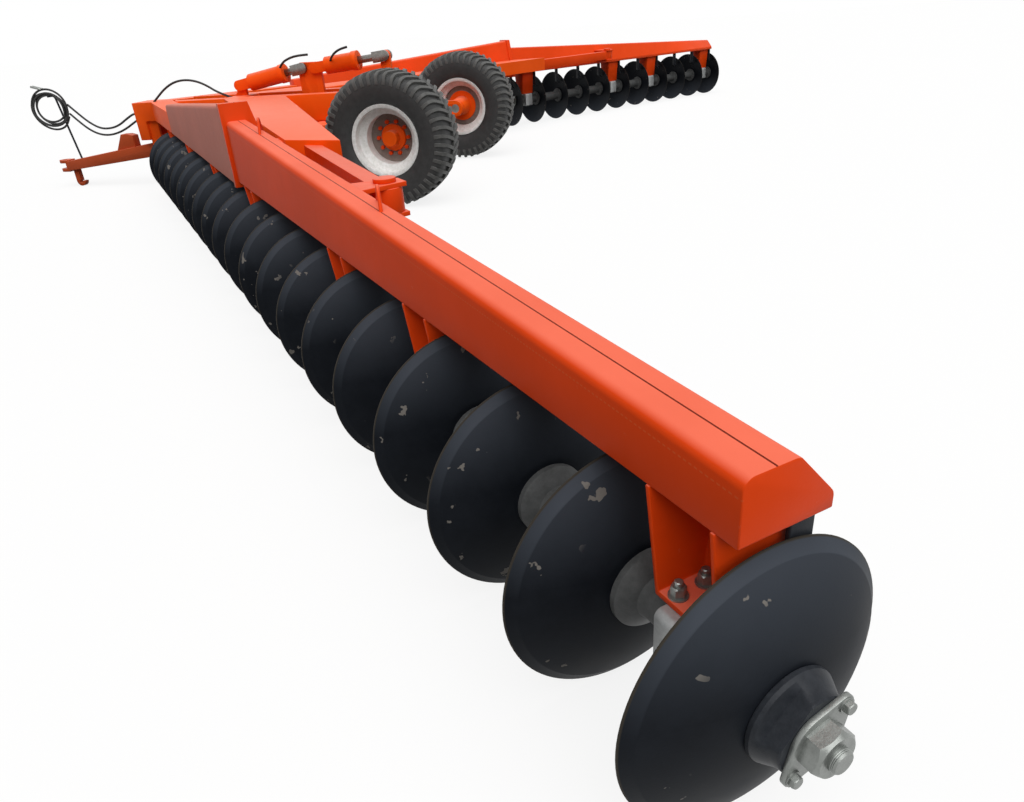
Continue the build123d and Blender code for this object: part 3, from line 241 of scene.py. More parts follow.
def paint_material(name, colour, worn, dust, seams=False):
    """Sprayed machine enamel: satin, faint orange peel, a painted sheen on top, scuffed, seamed on the
    beams.
    """
    tree, shader, place = new_material(name)
    # Clouds about 0.7 m across
    cloud, base = mottled(tree, place, {"Scale": 1.4, "Detail": 5.0, "Roughness": 0.6}, 0.42, 0.78,
                          colour, lighter(colour, 1.16, 0.006))
    # Painted sheen: a pale pink tint in patches on faces that look up, standing in for the sky's reflection
    # on them
    patchy = add_node(tree, "ShaderNodeMapRange", {0: cloud, 3: 0.30, 4: 0.55}).outputs[0]
    painted_top_light = add_node(tree, "ShaderNodeMath",
                    {"operation": "MULTIPLY", 0: facing_up(tree, 0.55, 0.95), 1: patchy})
    base = add_node(tree, "ShaderNodeMix",
                    {"data_type": "RGBA", 0: painted_top_light.outputs[0], 6: base, 7: hex_colour("#f28f78")})
    # Scuffs 40 mm long, drawn coarse enough to show
    scuff = add_node(tree, "ShaderNodeTexNoise",
                     {"Scale": 26.0, "Detail": 6.0, "Roughness": 0.72, "Vector": place}).outputs["Fac"]
    mark = add_node(tree, "ShaderNodeMapRange", {0: scuff, 1: 0.66 - dust * 0.12, 2: 0.76 - dust * 0.08})
    weak = add_node(tree, "ShaderNodeMath",
                    {"operation": "MULTIPLY", 0: mark.outputs[0], 1: 0.30 + dust * 0.5})
    coat = add_node(tree, "ShaderNodeMix",
                    {"data_type": "RGBA", 0: weak.outputs[0], 6: base.outputs[2], 7: worn}).outputs[2]
    if seams:
        coat = seamed(tree, place, coat)
    coated(tree, shader, coat, scuff, 0.36 + dust * 0.18, 0.52 + dust * 0.2, 0.10)
    # Orange peel of 6 mm, exaggerated from 2 mm
    grainy(tree, shader, place, 160.0, 2.0, 0.0008, 0.25)


def disc_material(colour):
    """Dip-coated boron steel: blue-black, near-matt, with bare grey chips near the rim and painted grey
    light on the part that looks up.
    """
    tree, shader, place = new_material("disc_coating")
    radius = add_node(tree, "ShaderNodeAttribute", {"attribute_name": "radius"}).outputs["Fac"]
    cloud, base = mottled(tree, place, {"Scale": 7.0, "Detail": 6.0, "Roughness": 0.65}, 0.40, 0.85,
                          colour, lighter(colour, 1.7, 0.003))
    # Painted light: grey on the part that looks up, standing in for the light from above
    painted_top_light = add_node(tree, "ShaderNodeMath",
                    {"operation": "MULTIPLY", 0: facing_up(tree, 0.10, 0.52), 1: 0.8})
    # Rubbed line on the ground edge, 4 mm wide
    edge = add_node(tree, "ShaderNodeMapRange", {0: radius, 1: 0.3262, 2: 0.3285})
    # Chips 15 to 40 mm wide, only near the rim
    noise = add_node(tree, "ShaderNodeTexNoise",
                     {"Scale": 17.0, "Detail": 3.0, "Roughness": 0.55, "Vector": place}).outputs["Fac"]
    chips = add_node(tree, "ShaderNodeMapRange", {0: noise, 1: 0.668, 2: 0.68})
    for low, high in ((0.21, 0.26), (0.325, 0.318)):
        band = add_node(tree, "ShaderNodeMapRange", {0: radius, 1: low, 2: high}).outputs[0]
        chips = add_node(tree, "ShaderNodeMath", {"operation": "MULTIPLY", 0: chips.outputs[0], 1: band})
    coat = base
    # The first of these marks is painted light, grey on the upper part of each disc
    for mark, tone in ((painted_top_light, "#474c54"), (edge, "#3a3630"), (chips, "#77736e")):
        settings = {"data_type": "RGBA", 0: mark.outputs[0], 6: coat, 7: hex_colour(tone)}
        coat = add_node(tree, "ShaderNodeMix", settings).outputs[2]
    coated(tree, shader, coat, cloud, 0.38, 0.60, 0.05)
    # Grain of 4 mm, coarser than the real coating so that it shows
    grainy(tree, shader, place, 240.0, 3.0, 0.0006, 0.3)


def casting_material(name, colour, metallic, low, high, gloss=0.5):
    """Sand casting or plated steel: mottled tone and a grainy skin about 4 mm coarse."""
    tree, shader, place = new_material(name)
    cloud, base = mottled(tree, place, {"Scale": 30.0, "Detail": 6.0, "Roughness": 0.7}, 0.35, 0.75,
                          colour, lighter(colour, 1.5, 0.01))
    shader.inputs["Metallic"].default_value = metallic
    coated(tree, shader, base, cloud, low, high, gloss)
    grainy(tree, shader, place, 260.0, 2.0, 0.0008, 0.35)


def rubber_material(name, colour, dust):
    """Vulcanised rubber: matt black that greys where dust settles in patches some 60 mm wide."""
    tree, shader, place = new_material(name)
    cloud, base = mottled(tree, place, {"Scale": 16.0, "Detail": 6.0, "Roughness": 0.7}, 0.35, 0.75,
                          colour, lighter(colour, 1.0, dust))
    tree.links.new(base, shader.inputs["Base Color"])
    shader.inputs["Roughness"].default_value = 0.62
    shader.inputs["Specular IOR Level"].default_value = 0.4
    grainy(tree, shader, place, 220.0, 2.0, 0.0006, 0.3)


def make_materials(colours):
    """All finishes of the machine."""
    pale = hex_colour("#e3a08c")
    paint_material("orange_enamel", tuple(colours.paint), pale, 0.0)
    paint_material("beam_enamel", tuple(colours.paint), pale, 0.0, True)
    paint_material("bright_enamel", tuple(colours.frame), hex_colour("#f0a883"), 0.0)
    paint_material("dusty_enamel", hex_colour("#b04a26"), hex_colour("#8f6a5a"), 0.3)
    paint_material("weathered_enamel", tuple(colours.worn), hex_colour("#8c7a74"), 0.5)
    disc_material(tuple(colours.disc))
    casting_material("grey_casting", hex_colour("#4a4b4b"), 0.0, 0.42, 0.62, 0.2)
    casting_material("black_casting", hex_colour("#202328"), 0.0, 0.36, 0.55, 0.15)
    casting_material("silver_enamel", hex_colour("#9c9e9e"), 0.25, 0.35, 0.5)
    casting_material("zinc_plate", hex_colour("#7c7f7c"), 0.7, 0.3, 0.45)
    casting_material("chromed_rod", hex_colour("#75736f"), 0.9, 0.2, 0.32)
    casting_material("rim_enamel", tuple(colours.rim), 0.0, 0.32, 0.5, 0.4)
    casting_material("brown_primer", hex_colour("#7b6f68"), 0.0, 0.5, 0.7, 0.2)
    rubber_material("tyre_rubber", tuple(colours.tyre), 0.02)
    rubber_material("tread_rubber", tuple(colours.tread), 0.05)
    rubber_material("hose_rubber", hex_colour("#151515"), 0.01)


def linked(name, data):
    """New object in the scene."""
    item = bpy.data.objects.new(name, data)
    bpy.context.scene.collection.objects.link(item)
    return item


def place_object(name, mesh, material, body, nodes=()):
    """Links a finished mesh, gives it its finish and rides it on its body."""
    mesh.name = name
    mesh.materials.clear()
    mesh.materials.append(MATERIALS[material])
    piece = linked(name, mesh)
    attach(piece, body)
    if nodes:
        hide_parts(*nodes)
    return piece


def smooth(mesh, angle):
    """Smooth shading with sharp edges past an angle."""
    mesh.shade_smooth()
    mesh.set_sharp_from_angle(angle=math.radians(angle))
    return mesh


def closed(shape):
    """Merges doubles and turns the faces outwards."""
    bmesh.ops.remove_doubles(shape, verts=shape.verts, dist=1e-5)
    bmesh.ops.recalc_face_normals(shape, faces=shape.faces)


def to_mesh(shape, name):
    """Plain mesh from a bmesh."""
    mesh = bpy.data.meshes.new(name)
    shape.to_mesh(mesh)
    shape.free()
    return mesh


def evaluated_mesh(item):
    """Plain mesh that an object's curve or modifiers give, in place of the object."""
    view = bpy.context.evaluated_depsgraph_get()
    mesh = bpy.data.meshes.new_from_object(item.evaluated_get(view))
    bpy.data.objects.remove(item)
    return mesh


def lathe(name, profile, segments, angle):
    """Turned mesh about X from a closed (along, radius) profile."""
    shape = bmesh.new()
    rings = []
    for step in range(segments):
        turn = 2.0 * math.pi * step / segments
        across, up = math.cos(turn), math.sin(turn)
        rings.append([shape.verts.new((x, r * across, r * up)) for x, r in profile])
    count = len(profile)
    for step in range(segments):
        here, there = rings[step], rings[(step + 1) % segments]
        for i in range(count):
            j = (i + 1) % count
            if profile[i][1] > 0.0 or profile[j][1] > 0.0:
                shape.faces.new((here[i], here[j], there[j], there[i]))
    closed(shape)
    return smooth(to_mesh(shape, name), angle)


def skinned(name, rings, angle, edge=0.0):
    """Closed mesh through rings of points with flat ends, its edges rounded where edge is given."""
    shape = bmesh.new()
    rows = [[shape.verts.new(point) for point in ring] for ring in rings]
    for here, there in zip(rows, rows[1:]):
        for i in range(len(here)):
            j = (i + 1) % len(here)
            shape.faces.new((here[i], here[j], there[j], there[i]))
    shape.faces.new(rows[0])
    shape.faces.new(rows[-1])
    closed(shape)
    if edge:
        bmesh.ops.bevel(shape, geom=shape.edges[:], offset=edge, segments=2, affect="EDGES", profile=0.5,
                        clamp_overlap=True)
    return smooth(to_mesh(shape, name), angle)


def plate(name, outline, low, high, edge):
    """Plate across X from a (y, z) outline, with rounded edges."""
    return skinned(name, [[(level, y, z) for y, z in outline] for level in (low, high)], 35.0, edge)


def copied(mesh, matrix):
    """Copy of a mesh moved by a matrix; a mirroring matrix keeps faces outwards."""
    part = mesh.copy()
    part.transform(matrix)
    if matrix.determinant() < 0.0:
        part.flip_normals()
    return part


def joined(name, parts):
    """One mesh from several (mesh, matrix) parts."""
    shape = bmesh.new()
    for mesh, matrix in parts:
        part = copied(mesh, matrix)
        shape.from_mesh(part)
        bpy.data.meshes.remove(part)
    return to_mesh(shape, name)


def circle_points(radius, count):
    """Corner points of a regular polygon."""
    steps = [2.0 * math.pi * i / count for i in range(count)]
    return [(radius * math.cos(a), radius * math.sin(a)) for a in steps]


def repeat_tree(name, material):
    """Node tree that sets a copy of one mesh on every point, turned as the point says."""
    tree = bpy.data.node_groups.new(name, "GeometryNodeTree")
    tree.interface.new_socket("Points", in_out="INPUT", socket_type="NodeSocketGeometry")
    tree.interface.new_socket("Copy", in_out="INPUT", socket_type="NodeSocketObject")
    tree.interface.new_socket("Size", in_out="INPUT", socket_type="NodeSocketFloat").default_value = 1.0
    tree.interface.new_socket("Result", in_out="OUTPUT", socket_type="NodeSocketGeometry")
    source = add_node(tree, "NodeGroupInput").outputs
    copy = add_node(tree, "GeometryNodeObjectInfo",
                    {"transform_space": "ORIGINAL", "Object": source["Copy"]})
    turn = add_node(tree, "GeometryNodeInputNamedAttribute", {"data_type": "FLOAT_VECTOR", "Name": "turn"})
    spread = add_node(tree, "GeometryNodeInstanceOnPoints", {
        "Points": source["Points"],
        "Instance": copy.outputs["Geometry"],
        "Rotation": turn.outputs["Attribute"],
        "Scale": source["Size"],
    })
    solid = add_node(tree, "GeometryNodeRealizeInstances", {"Geometry": spread.outputs["Instances"]})
    finish = add_node(tree, "GeometryNodeSetMaterial",
                      {"Material": MATERIALS[material], "Geometry": solid.outputs["Geometry"]})
    add_node(tree, "NodeGroupOutput", {"Result": finish.outputs["Geometry"]})
    return tree


def repeated(name, mesh, places, material, size=1.0):
    """Plain mesh with a copy of a mesh at each (point, turn), made by Geometry Nodes."""
    points = bpy.data.meshes.new(name + "_points")
    points.from_pydata([point for point, turn in places], [], [])
    layer = points.attributes.new("turn", "FLOAT_VECTOR", "POINT")
    for i, (point, turn) in enumerate(places):
        layer.data[i].vector = turn
    copy = linked(name + "_copy", mesh)
    holder = linked(name + "_holder", points)
    tree = repeat_tree(name + "_tree", material)
    modifier = holder.modifiers.new("repeat", "NODES")
    modifier.node_group = tree
    names = {item.name: item.identifier for item in tree.interface.items_tree}
    modifier[names["Copy"]] = copy
    modifier[names["Size"]] = size
    result = evaluated_mesh(holder)
    bpy.data.objects.remove(copy)
    bpy.data.node_groups.remove(tree)
    return result


def softened(node, width):
    """Merged copy of a CAD node with rounded plate edges."""
    angle = 30.0
    shape = bmesh.new()
    shape.from_mesh(frame["nodes"][node].data)
    bmesh.ops.remove_doubles(shape, verts=shape.verts, dist=2e-5)
    flat = math.radians(0.6)
    bmesh.ops.dissolve_limit(shape, angle_limit=flat, verts=shape.verts[:], edges=shape.edges[:])
    mesh = to_mesh(shape, node + "_soft")
    if width > 0.0:
        holder = linked(node + "_holder", mesh)
        bevel = holder.modifiers.new("edges", "BEVEL")
        bevel.width = width
        bevel.segments = 2
        bevel.limit_method = "ANGLE"
        bevel.angle_limit = math.radians(angle)
        bevel.use_clamp_overlap = True
        mesh = evaluated_mesh(holder)
    return smooth(mesh, angle)


def dress(node, material, width):
    """Softened copy of a CAD node in place of it."""
    body = next(name for name, nodes in frame["record"]["behaviour"]["bodies"].items() if node in nodes)
    return place_object(node + "_skin", softened(node, width), material, body, [node])


DISC_FLAT = 0.105
DISC_DISH = 0.077
DISC_THICK = 0.008
DISC_EDGE = 0.003
DISC_BEVEL = 0.024
DISC_STEPS = 12
# From the outer disc's rim plane to the end of the bell's neck, and the turn of its flats
BELL_REACH = 0.148
LOCK_TURN = math.radians(-45.0)
LOCK_THICK = 0.012
LOCK_EAR_REACH = 0.082
GANG_NUT_HEIGHT = 0.040


def disc_profile(radius):
    """Dished disc section: flat centre, spherical dish and a ground bevel on the convex side."""
    sphere = (radius ** 2 + DISC_DISH ** 2) / (2.0 * DISC_DISH)
    start = sphere - math.sqrt(sphere ** 2 - DISC_FLAT ** 2)
    scale = DISC_DISH / (DISC_DISH - start)

    def depth(r):
        return -DISC_DISH + (sphere - math.sqrt(sphere ** 2 - r ** 2) - start) * scale

    def spread(first, last):
        return [first + (last - first) * i / DISC_STEPS for i in range(DISC_STEPS + 1)]

    ground = radius - DISC_BEVEL
    inner = [(depth(r), r) for r in spread(DISC_FLAT, radius)]
    outer = [
        (-DISC_EDGE, radius),
        (depth(ground) - DISC_THICK + 0.001, ground),
        (depth(ground - 0.002) - DISC_THICK, ground - 0.002),
    ]
    outer += [(depth(r) - DISC_THICK, r) for r in spread(ground - 0.004, DISC_FLAT)]
    return [(-DISC_DISH, 0.0)] + inner + outer + [(-DISC_DISH - DISC_THICK, 0.0)]


def disc_mesh(radius):
    """One disc, each point of which knows its distance from the axis."""
    mesh = lathe("disc", disc_profile(radius), 96, 40.0)
    layer = mesh.attributes.new("radius", "FLOAT", "POINT")
    for vertex in mesh.vertices:
        layer.data[vertex.index].value = math.hypot(vertex.co.y, vertex.co.z)
    return mesh


def spool_mesh(spacing):
    """Cast spool from one disc's hollow side to the next one's back, wider at the second end."""
    start = -DISC_DISH
    end = spacing - DISC_DISH - DISC_THICK
    return lathe("spool", [
        (start, 0.0), (start, 0.090), (start + 0.005, 0.0925), (start + 0.018, 0.0925),
        (start + 0.022, 0.088), (start + 0.022, 0.070), (start + 0.030, 0.060), (start + 0.045, 0.056),
        (end - 0.060, 0.056), (end - 0.046, 0.060), (end - 0.022, 0.099), (end - 0.018, 0.1025),
        (end - 0.002, 0.1025), (end, 0.100), (end, 0.0),
    ], 48, 40.0)


def gang_places(spacing, first, count):
    """Points along the gang's axis, one for each disc, each turned a little further."""
    return [(((first + i) * spacing, 0.0, 0.0), (i * 0.7, 0.0, 0.0)) for i in range(count)]


def end_bell():
    """Cast end bell: round flange, cone and a neck with two flats under the lock plate."""
    flange = [(-0.085, 0.105), (-0.087, 0.107), (-0.096, 0.107), (-0.099, 0.105), (-0.1035, 0.103)]
    neck = [(-0.112, 0.098), (-0.124, 0.091), (-0.130, 0.088), (-0.145, 0.086), (-BELL_REACH, 0.083)]
    flat = 0.070
    rings = [[(x, y, z) for y, z in circle_points(radius, 96)] for x, radius in flange]
    for x, radius in neck:
        rings.append([(x, y, max(-flat, min(flat, z))) for y, z in circle_points(radius, 96)])
    return skinned("bell", rings, 28.0)


def ear_outline(middle, ear, reach):
    """Outline of a round plate drawn out to two round ears."""
    lean = math.acos((middle - ear) / reach)
    points = []
    for centre, radius, start, end in (
        (0.0, middle, lean, math.pi - lean),
        (-reach, ear, math.pi - lean, math.pi + lean),
        (0.0, middle, math.pi + lean, 2.0 * math.pi - lean),
        (reach, ear, -lean, lean),
    ):
        for i in range(11):
            angle = start + (end - start) * i / 10.0
            points.append((centre + radius * math.cos(angle), radius * math.sin(angle)))
    return points


def hex_bolt(name, flats, height):
    """Hexagon along +X with turned corners, as a forged nut or bolt head has them."""
    inside = flats / 2.0
    corner = flats / math.sqrt(3.0)
    low = 0.12 * inside
    rings = []
    levels = ((0.0, 0.0, corner), (height - low, low * 0.8, corner), (height, 0.0, inside * 0.94))
    for x, drop, limit in levels:
        ring = []
        for i in range(36):
            angle = 2.0 * math.pi * i / 36
            near = (angle + math.pi / 6.0) % (math.pi / 3.0) - math.pi / 6.0
            side = min(inside / math.cos(near), limit)
            fall = drop * max(0.0, side - inside) / (corner - inside)
            ring.append((x - fall, side * math.cos(angle), side * math.sin(angle)))
        rings.append(ring)
    return skinned(name, rings, 25.0)


def washer(name, radius, thick):
    """Flat round washer along +X."""
    return lathe(name, [(0.0, 0.0), (0.0, radius), (thick, radius), (thick, 0.0)], 24, 35.0)


def lock_set():
    """Lock plate with its two small bolts, the gang nut and the end of the gang bolt, along +X."""
    lock = plate("lock", ear_outline(0.064, 0.020, LOCK_EAR_REACH), 0.0, LOCK_THICK, 0.0018)
    nut = hex_bolt("gang_nut", 0.094, GANG_NUT_HEIGHT)
    small = hex_bolt("lock_bolt", 0.024, 0.011)
    under = washer("lock_washer", 0.017, 0.003)
    stub = lathe("stub", [
        (0.0, 0.0), (0.0, 0.026), (0.006, 0.026), (0.0075, 0.0248), (0.009, 0.026), (0.0105, 0.0248),
        (0.012, 0.026), (0.016, 0.0225), (0.016, 0.0),
    ], 40, 35.0)
    parts = [(lock, Matrix.Identity(4)), (nut, Matrix.Translation((LOCK_THICK, 0, 0)))]
    parts.append((stub, Matrix.Translation((GANG_NUT_HEIGHT + 0.010, 0, 0))))
    for side in (-LOCK_EAR_REACH, LOCK_EAR_REACH):
        parts.append((under, Matrix.Translation((LOCK_THICK, side, 0))))
        parts.append((small, Matrix.Translation((LOCK_THICK + 0.003, side, 0))))
    return joined("lock_set", parts)


class HARROW_OT_gangs(bpy.types.Operator):
    """Discs, spools and end hardware of the gangs"""

    bl_idname = "harrow.gangs"
    bl_label = "Disc gangs"

    def execute(self, context):
        sizes = context.scene.harrow_sizes
        spacing = sizes.disc_spacing
        disc = disc_mesh(sizes.disc_radius)
        spool = spool_mesh(spacing)
        bell = end_bell()
        lock = lock_set()
        twist = Matrix.Rotation(LOCK_TURN, 4, "X")
        about = Matrix.Rotation(math.pi, 4, "Z")
        for place, first, count in GANGS:
            near = first * spacing
            far = (first + count - 1) * spacing
            discs = repeated("discs", disc, gang_places(spacing, first, count), "disc_coating")
            spools = repeated("spools", spool, gang_places(spacing, first, count - 1), "grey_casting")
            outer_lock = AXIS_UP @ Matrix.Translation((near - BELL_REACH, 0, 0)) @ twist @ about
            inner_lock = AXIS_UP @ Matrix.Translation((far - DISC_DISH, 0, 0)) @ twist
            locks = joined("locks", [(lock, outer_lock), (lock, inner_lock)])
            bells = joined("bells", [(bell, AXIS_UP @ Matrix.Translation((near, 0, 0)) @ twist)])
            for side, flip in SIDES:
                tail = f"{place}_{side}"
                body = "gang_" + tail
                whole = flip @ ARM
                disc_row = smooth(copied(discs, whole @ AXIS_UP), 40.0)
                spool_row = smooth(copied(spools, whole @ AXIS_UP), 40.0)
                place_object("disc_row_" + tail, disc_row, "disc_coating", body,
                             ["discs_" + tail])
                place_object("spool_row_" + tail, spool_row, "grey_casting", body,
                             ["spools_" + tail])
                place_object("end_bell_" + tail, copied(bells, whole), "black_casting", body,
                             ["gang_ends_" + tail])
                place_object("end_lock_" + tail, copied(locks, whole), "zinc_plate", body)
        return {"FINISHED"}


def route_curve(name, points, radius, roundness, steps):
    """Round curve on one smooth NURBS spline with a route's points as its control points."""
    curve = bpy.data.curves.new(name, "CURVE")
    curve.dimensions = "3D"
    curve.bevel_depth = radius
    curve.bevel_resolution = roundness
    curve.use_fill_caps = True
    spline = curve.splines.new("NURBS")
    spline.points.add(len(points) - 1)
    for target, point in zip(spline.points, points):
        target.co = (*point, 1.0)
    spline.order_u = 3
    spline.use_endpoint_u = True
    spline.resolution_u = steps
    return linked(name, curve)


# Spools that turn in a bearing under a standard, counted from the outer end
STANDARD_SPOOLS = (1, 4, 6, 10, 13, 16, 19)
STANDARD_ALONG = 0.129
STANDARD_FOOT_TOP = 0.434
# Top of the outer beam at its outer end, and how it climbs along the arm
BEAM_TOP = 0.845
BEAM_CLIMB = 0.0484
HOOK_PLACES = (1.86, 3.70)
HOOK_ROUTE = [(-0.060, 0.030, -0.007), (-0.050, 0.026, 0.020), (-0.020, 0.018, 0.070), (0.012, 0.008, 0.074),
              (0.040, 0.000, 0.045), (0.080, -0.012, 0.020), (0.115, -0.022, 0.001)]


def standard_bolts(spacing):
    """Four bolts on the foot of each standard, on both arms."""
    end = [(0.0, 0.0), (0.0, 0.010), (0.010, 0.010), (0.012, 0.008), (0.012, 0.0)]
    bolt = joined("foot_bolt", [
        (washer("foot_washer", 0.022, 0.004), Matrix.Identity(4)),
        (hex_bolt("foot_nut", 0.030, 0.024), Matrix.Translation((0.004, 0, 0))),
        (lathe("foot_end", end, 20, 35.0), Matrix.Translation((0.028, 0, 0))),
    ])
    spots = []
    for number in STANDARD_SPOOLS:
        middle = (number - 1) * spacing + STANDARD_ALONG
        for step, ahead in ((-0.05, -0.03), (0.05, -0.03), (-0.05, 0.042), (0.05, 0.042)):
            spots.append(((middle + step, ahead, STANDARD_FOOT_TOP), (0.0, -math.pi / 2.0, 0.0)))
    bolts = repeated("foot_bolts", bolt, spots, "zinc_plate")
    both = joined("standard_bolts", [(bolts, flip @ ARM) for side, flip in SIDES])
    place_object("standard_bolts", smooth(both, 30.0), "zinc_plate", "frame")


def hose_hooks():
    """Hose hooks of 14 mm rod, welded on the top of the left outer beam."""
    hooks = []
    for along in HOOK_PLACES:
        top = BEAM_TOP + BEAM_CLIMB * (along + 0.02)
        points = [(along + a, w - 0.01, top + z) for a, w, z in HOOK_ROUTE]
        hooks.append((evaluated_mesh(route_curve("hook", points, 0.007, 3, 6)), ARM))
    rods = smooth(joined("hooks", hooks), 40.0)
    place_object("hose_hooks", rods, "orange_enamel", "frame")


class HARROW_OT_structure(bpy.types.Operator):
    """Beams, standards, frame, lift and tongue in their paint"""

    bl_idname = "harrow.structure"
    bl_label = "Painted structure"

    def execute(self, context):
        sizes = context.scene.harrow_sizes
        painted = {
            "orange_enamel": [
                "gang_beam_inner_right", "standards", "brace_left", "brace_right", "brace_brackets",
            ],
            "bright_enamel": [
                "spine_beams", "spine_crosses", "frame_arm_left", "frame_arm_right", "frame_ties", "nose",
                "rockshaft", "rockshaft_bearings", "wheel_arms", "cylinder_posts", "barrel_front",
                "barrel_rear",
            ],
            "dusty_enamel": ["tongue_beam", "tongue_bracket", "hitch", "parking_hook"],
            "beam_enamel": ["gang_beam_outer_left", "gang_beam_outer_right"],
            "weathered_enamel": ["gang_beam_inner_left"],
        }
        for finish, nodes in painted.items():
            for node in nodes:
                dress(node, finish, sizes.edge)
        standard_bolts(sizes.disc_spacing)
        hose_hooks()
        dress("bearings", "silver_enamel", sizes.edge)
        dress("scrapers", "black_casting", 0.002)
        dress("brace_pins", "orange_enamel", sizes.edge)
        dress("stub_axles", "zinc_plate", 0.002)
        dress("rod_front", "chromed_rod", 0.002)
        dress("rod_rear", "chromed_rod", 0.002)
        dress("hose_stand", "black_casting", 0.0)
        return {"FINISHED"}


WHEEL_ACROSS = 1.2
WHEEL_STATION = 3.032
TREAD_HALF = 0.24
TREAD_RADIUS = 0.575
LUG_HEIGHT = 0.022
LUG_STEPS = 12
# Share of a lug that runs down the shoulder
LUG_SHOULDER = 0.25
NUT_CIRCLE = 0.1405
NUT_COUNT = 10
# Half sections from the bead to the tread, and of the rim's outside and inside
CARCASS = [(0.186, 0.286), (0.186, 0.3055), (0.194, 0.308), (0.216, 0.335), (0.232, 0.38), (0.239, 0.43),
           (0.237, 0.475), (0.229, 0.505), (0.214, 0.526), (0.19, 0.541), (0.15, 0.549), (0.08, 0.553)]
RIM_OUTSIDE = [(0.198, 0.3055), (0.192, 0.309), (0.186, 0.3055), (0.186, 0.286), (0.099, 0.284),
               (0.073, 0.226)]
RIM_INSIDE = [(0.198, 0.290), (0.190, 0.274), (0.107, 0.274), (0.079, 0.214)]
RIM_FACE = [(0.040, 0.105), (0.040, 0.195), (0.034, 0.2135), (0.048, 0.2135), (0.056, 0.197), (0.056, 0.105)]
HUB = [(0.293, 0.0451), (0.293, 0.084), (0.288, 0.088), (0.083, 0.103), (0.078, 0.105), (0.078, 0.158),
       (0.076, 0.160), (0.058, 0.160), (0.056, 0.158), (0.056, 0.105), (0.040, 0.105), (0.034, 0.118),
       (0.018, 0.112), (0.014, 0.078), (0.008, 0.068), (-0.074, 0.066), (-0.078, 0.062), (-0.078, 0.0),
       (-0.0483, 0.0), (-0.0483, 0.0451)]


def mirrored(half, middle=()):
    """Section from the far side to the near one, from its near half and a point in the middle."""
    return [(-x, r) for x, r in half] + list(middle) + half[::-1]


def tread_radius(across):
    """Radius of the lugs' tops at a distance across from the tyre's middle."""
    share = min(abs(across) / TREAD_HALF, 1.0)
    return TREAD_RADIUS - 0.007 * min(share / 0.65, 1.0) ** 2 - max(share - 0.65, 0.0) ** 2 * 0.30


def lug_mesh(name, hand):
    """One curved lug from the shoulder to past the middle, standing on the carcass."""
    rings = []
    for i in range(LUG_STEPS + 1):
        t = i / LUG_STEPS
        push = 0.0
        if t < LUG_SHOULDER:
            share = t / LUG_SHOULDER
            x = 0.241 - 0.017 * share
            outer = 0.488 + (0.553 - 0.488) * share
            push = 0.0018
        else:
            share = (t - LUG_SHOULDER) / (1.0 - LUG_SHOULDER)
            x = 0.224 - share * 0.236
            outer = tread_radius(x)
        lead = 0.020 * (1.0 - t) + 0.17 * max(t - 0.2, 0.0) ** 1.25
        half = 0.0125 + 0.004 * t
        foot = half * 1.25
        inner = outer - LUG_HEIGHT
        ring = []
        section = ((-foot, inner, 0.0), (-half, outer, push), (half, outer, push), (foot, inner, 0.0))
        for offset, radius, out in section:
            angle = lead + offset / radius
            ring.append((hand * (x + out), -radius * math.sin(angle), radius * math.cos(angle)))
        rings.append(ring)
    return skinned(name, rings, 30.0)


def tread_mesh(count):
    """Lugs round both sides of a tyre, those of one side between those of the other."""
    lugs = []
    for hand, shift in ((-1.0, 0.0), (1.0, 0.5)):
        turns = [2.0 * math.pi * (i + shift) / count for i in range(count)]
        places = [((0.0, 0.0, 0.0), (turn, 0.0, 0.0)) for turn in turns]
        lugs.append(repeated("lugs", lug_mesh("lug", hand), places, "tread_rubber"))
    return joined("tread", [(part, Matrix.Identity(4)) for part in lugs])


def wheel_nuts():
    """Ring of hexagon nuts on the wheel's face."""
    nut = plate("wheel_nut", circle_points(0.0185, 6), 0.010, 0.040, 0.0015)
    spots = []
    for i, (y, z) in enumerate(circle_points(NUT_CIRCLE, NUT_COUNT)):
        spots.append(((0.0, y, z), (2.0 * math.pi * i / NUT_COUNT, 0.0, 0.0)))
    return repeated("wheel_nuts", nut, spots, "brown_primer")


class HARROW_OT_wheels(bpy.types.Operator):
    """Transport wheels: tyre with lugs, rim, wheel disc, hub and bolts"""

    bl_idname = "harrow.wheels"
    bl_label = "Transport wheels"

    def execute(self, context):
        sizes = context.scene.harrow_sizes
        carcass = lathe("carcass", mirrored(CARCASS, [(0.0, 0.555)]), 128, 40.0)
        tread = tread_mesh(sizes.tyre_lugs)
        rim = lathe("rim", mirrored(RIM_OUTSIDE) + mirrored(RIM_INSIDE)[::-1], 96, 40.0)
        face = lathe("face", RIM_FACE, 96, 40.0)
        hub = lathe("hub", HUB, 64, 40.0)
        nuts = wheel_nuts()
        for side, flip in SIDES:
            spot = (-WHEEL_ACROSS, WHEEL_STATION - OVERALL_LENGTH / 2, sizes.tyre_radius)
            whole = flip @ Matrix.Translation(spot)
            for name, mesh, finish, slot, nodes in (
                ("tyre_body_", carcass, "tyre_rubber", "tyre", ["tyre_" + side]),
                ("tyre_tread_", tread, "tread_rubber", "tyre", []),
                ("rim_barrel_", rim, "rim_enamel", "rim_paint", ["rim_" + side]),
                ("rim_face_", face, "brown_primer", "rim_paint", []),
                ("hub_cap_", hub, "bright_enamel", "orange_paint", ["hub_" + side]),
                ("wheel_nuts_", nuts, "orange_enamel", "zinc", []),
            ):
                place_object(name + side, copied(mesh, whole), finish, "wheel_" + side, nodes)
        return {"FINISHED"}


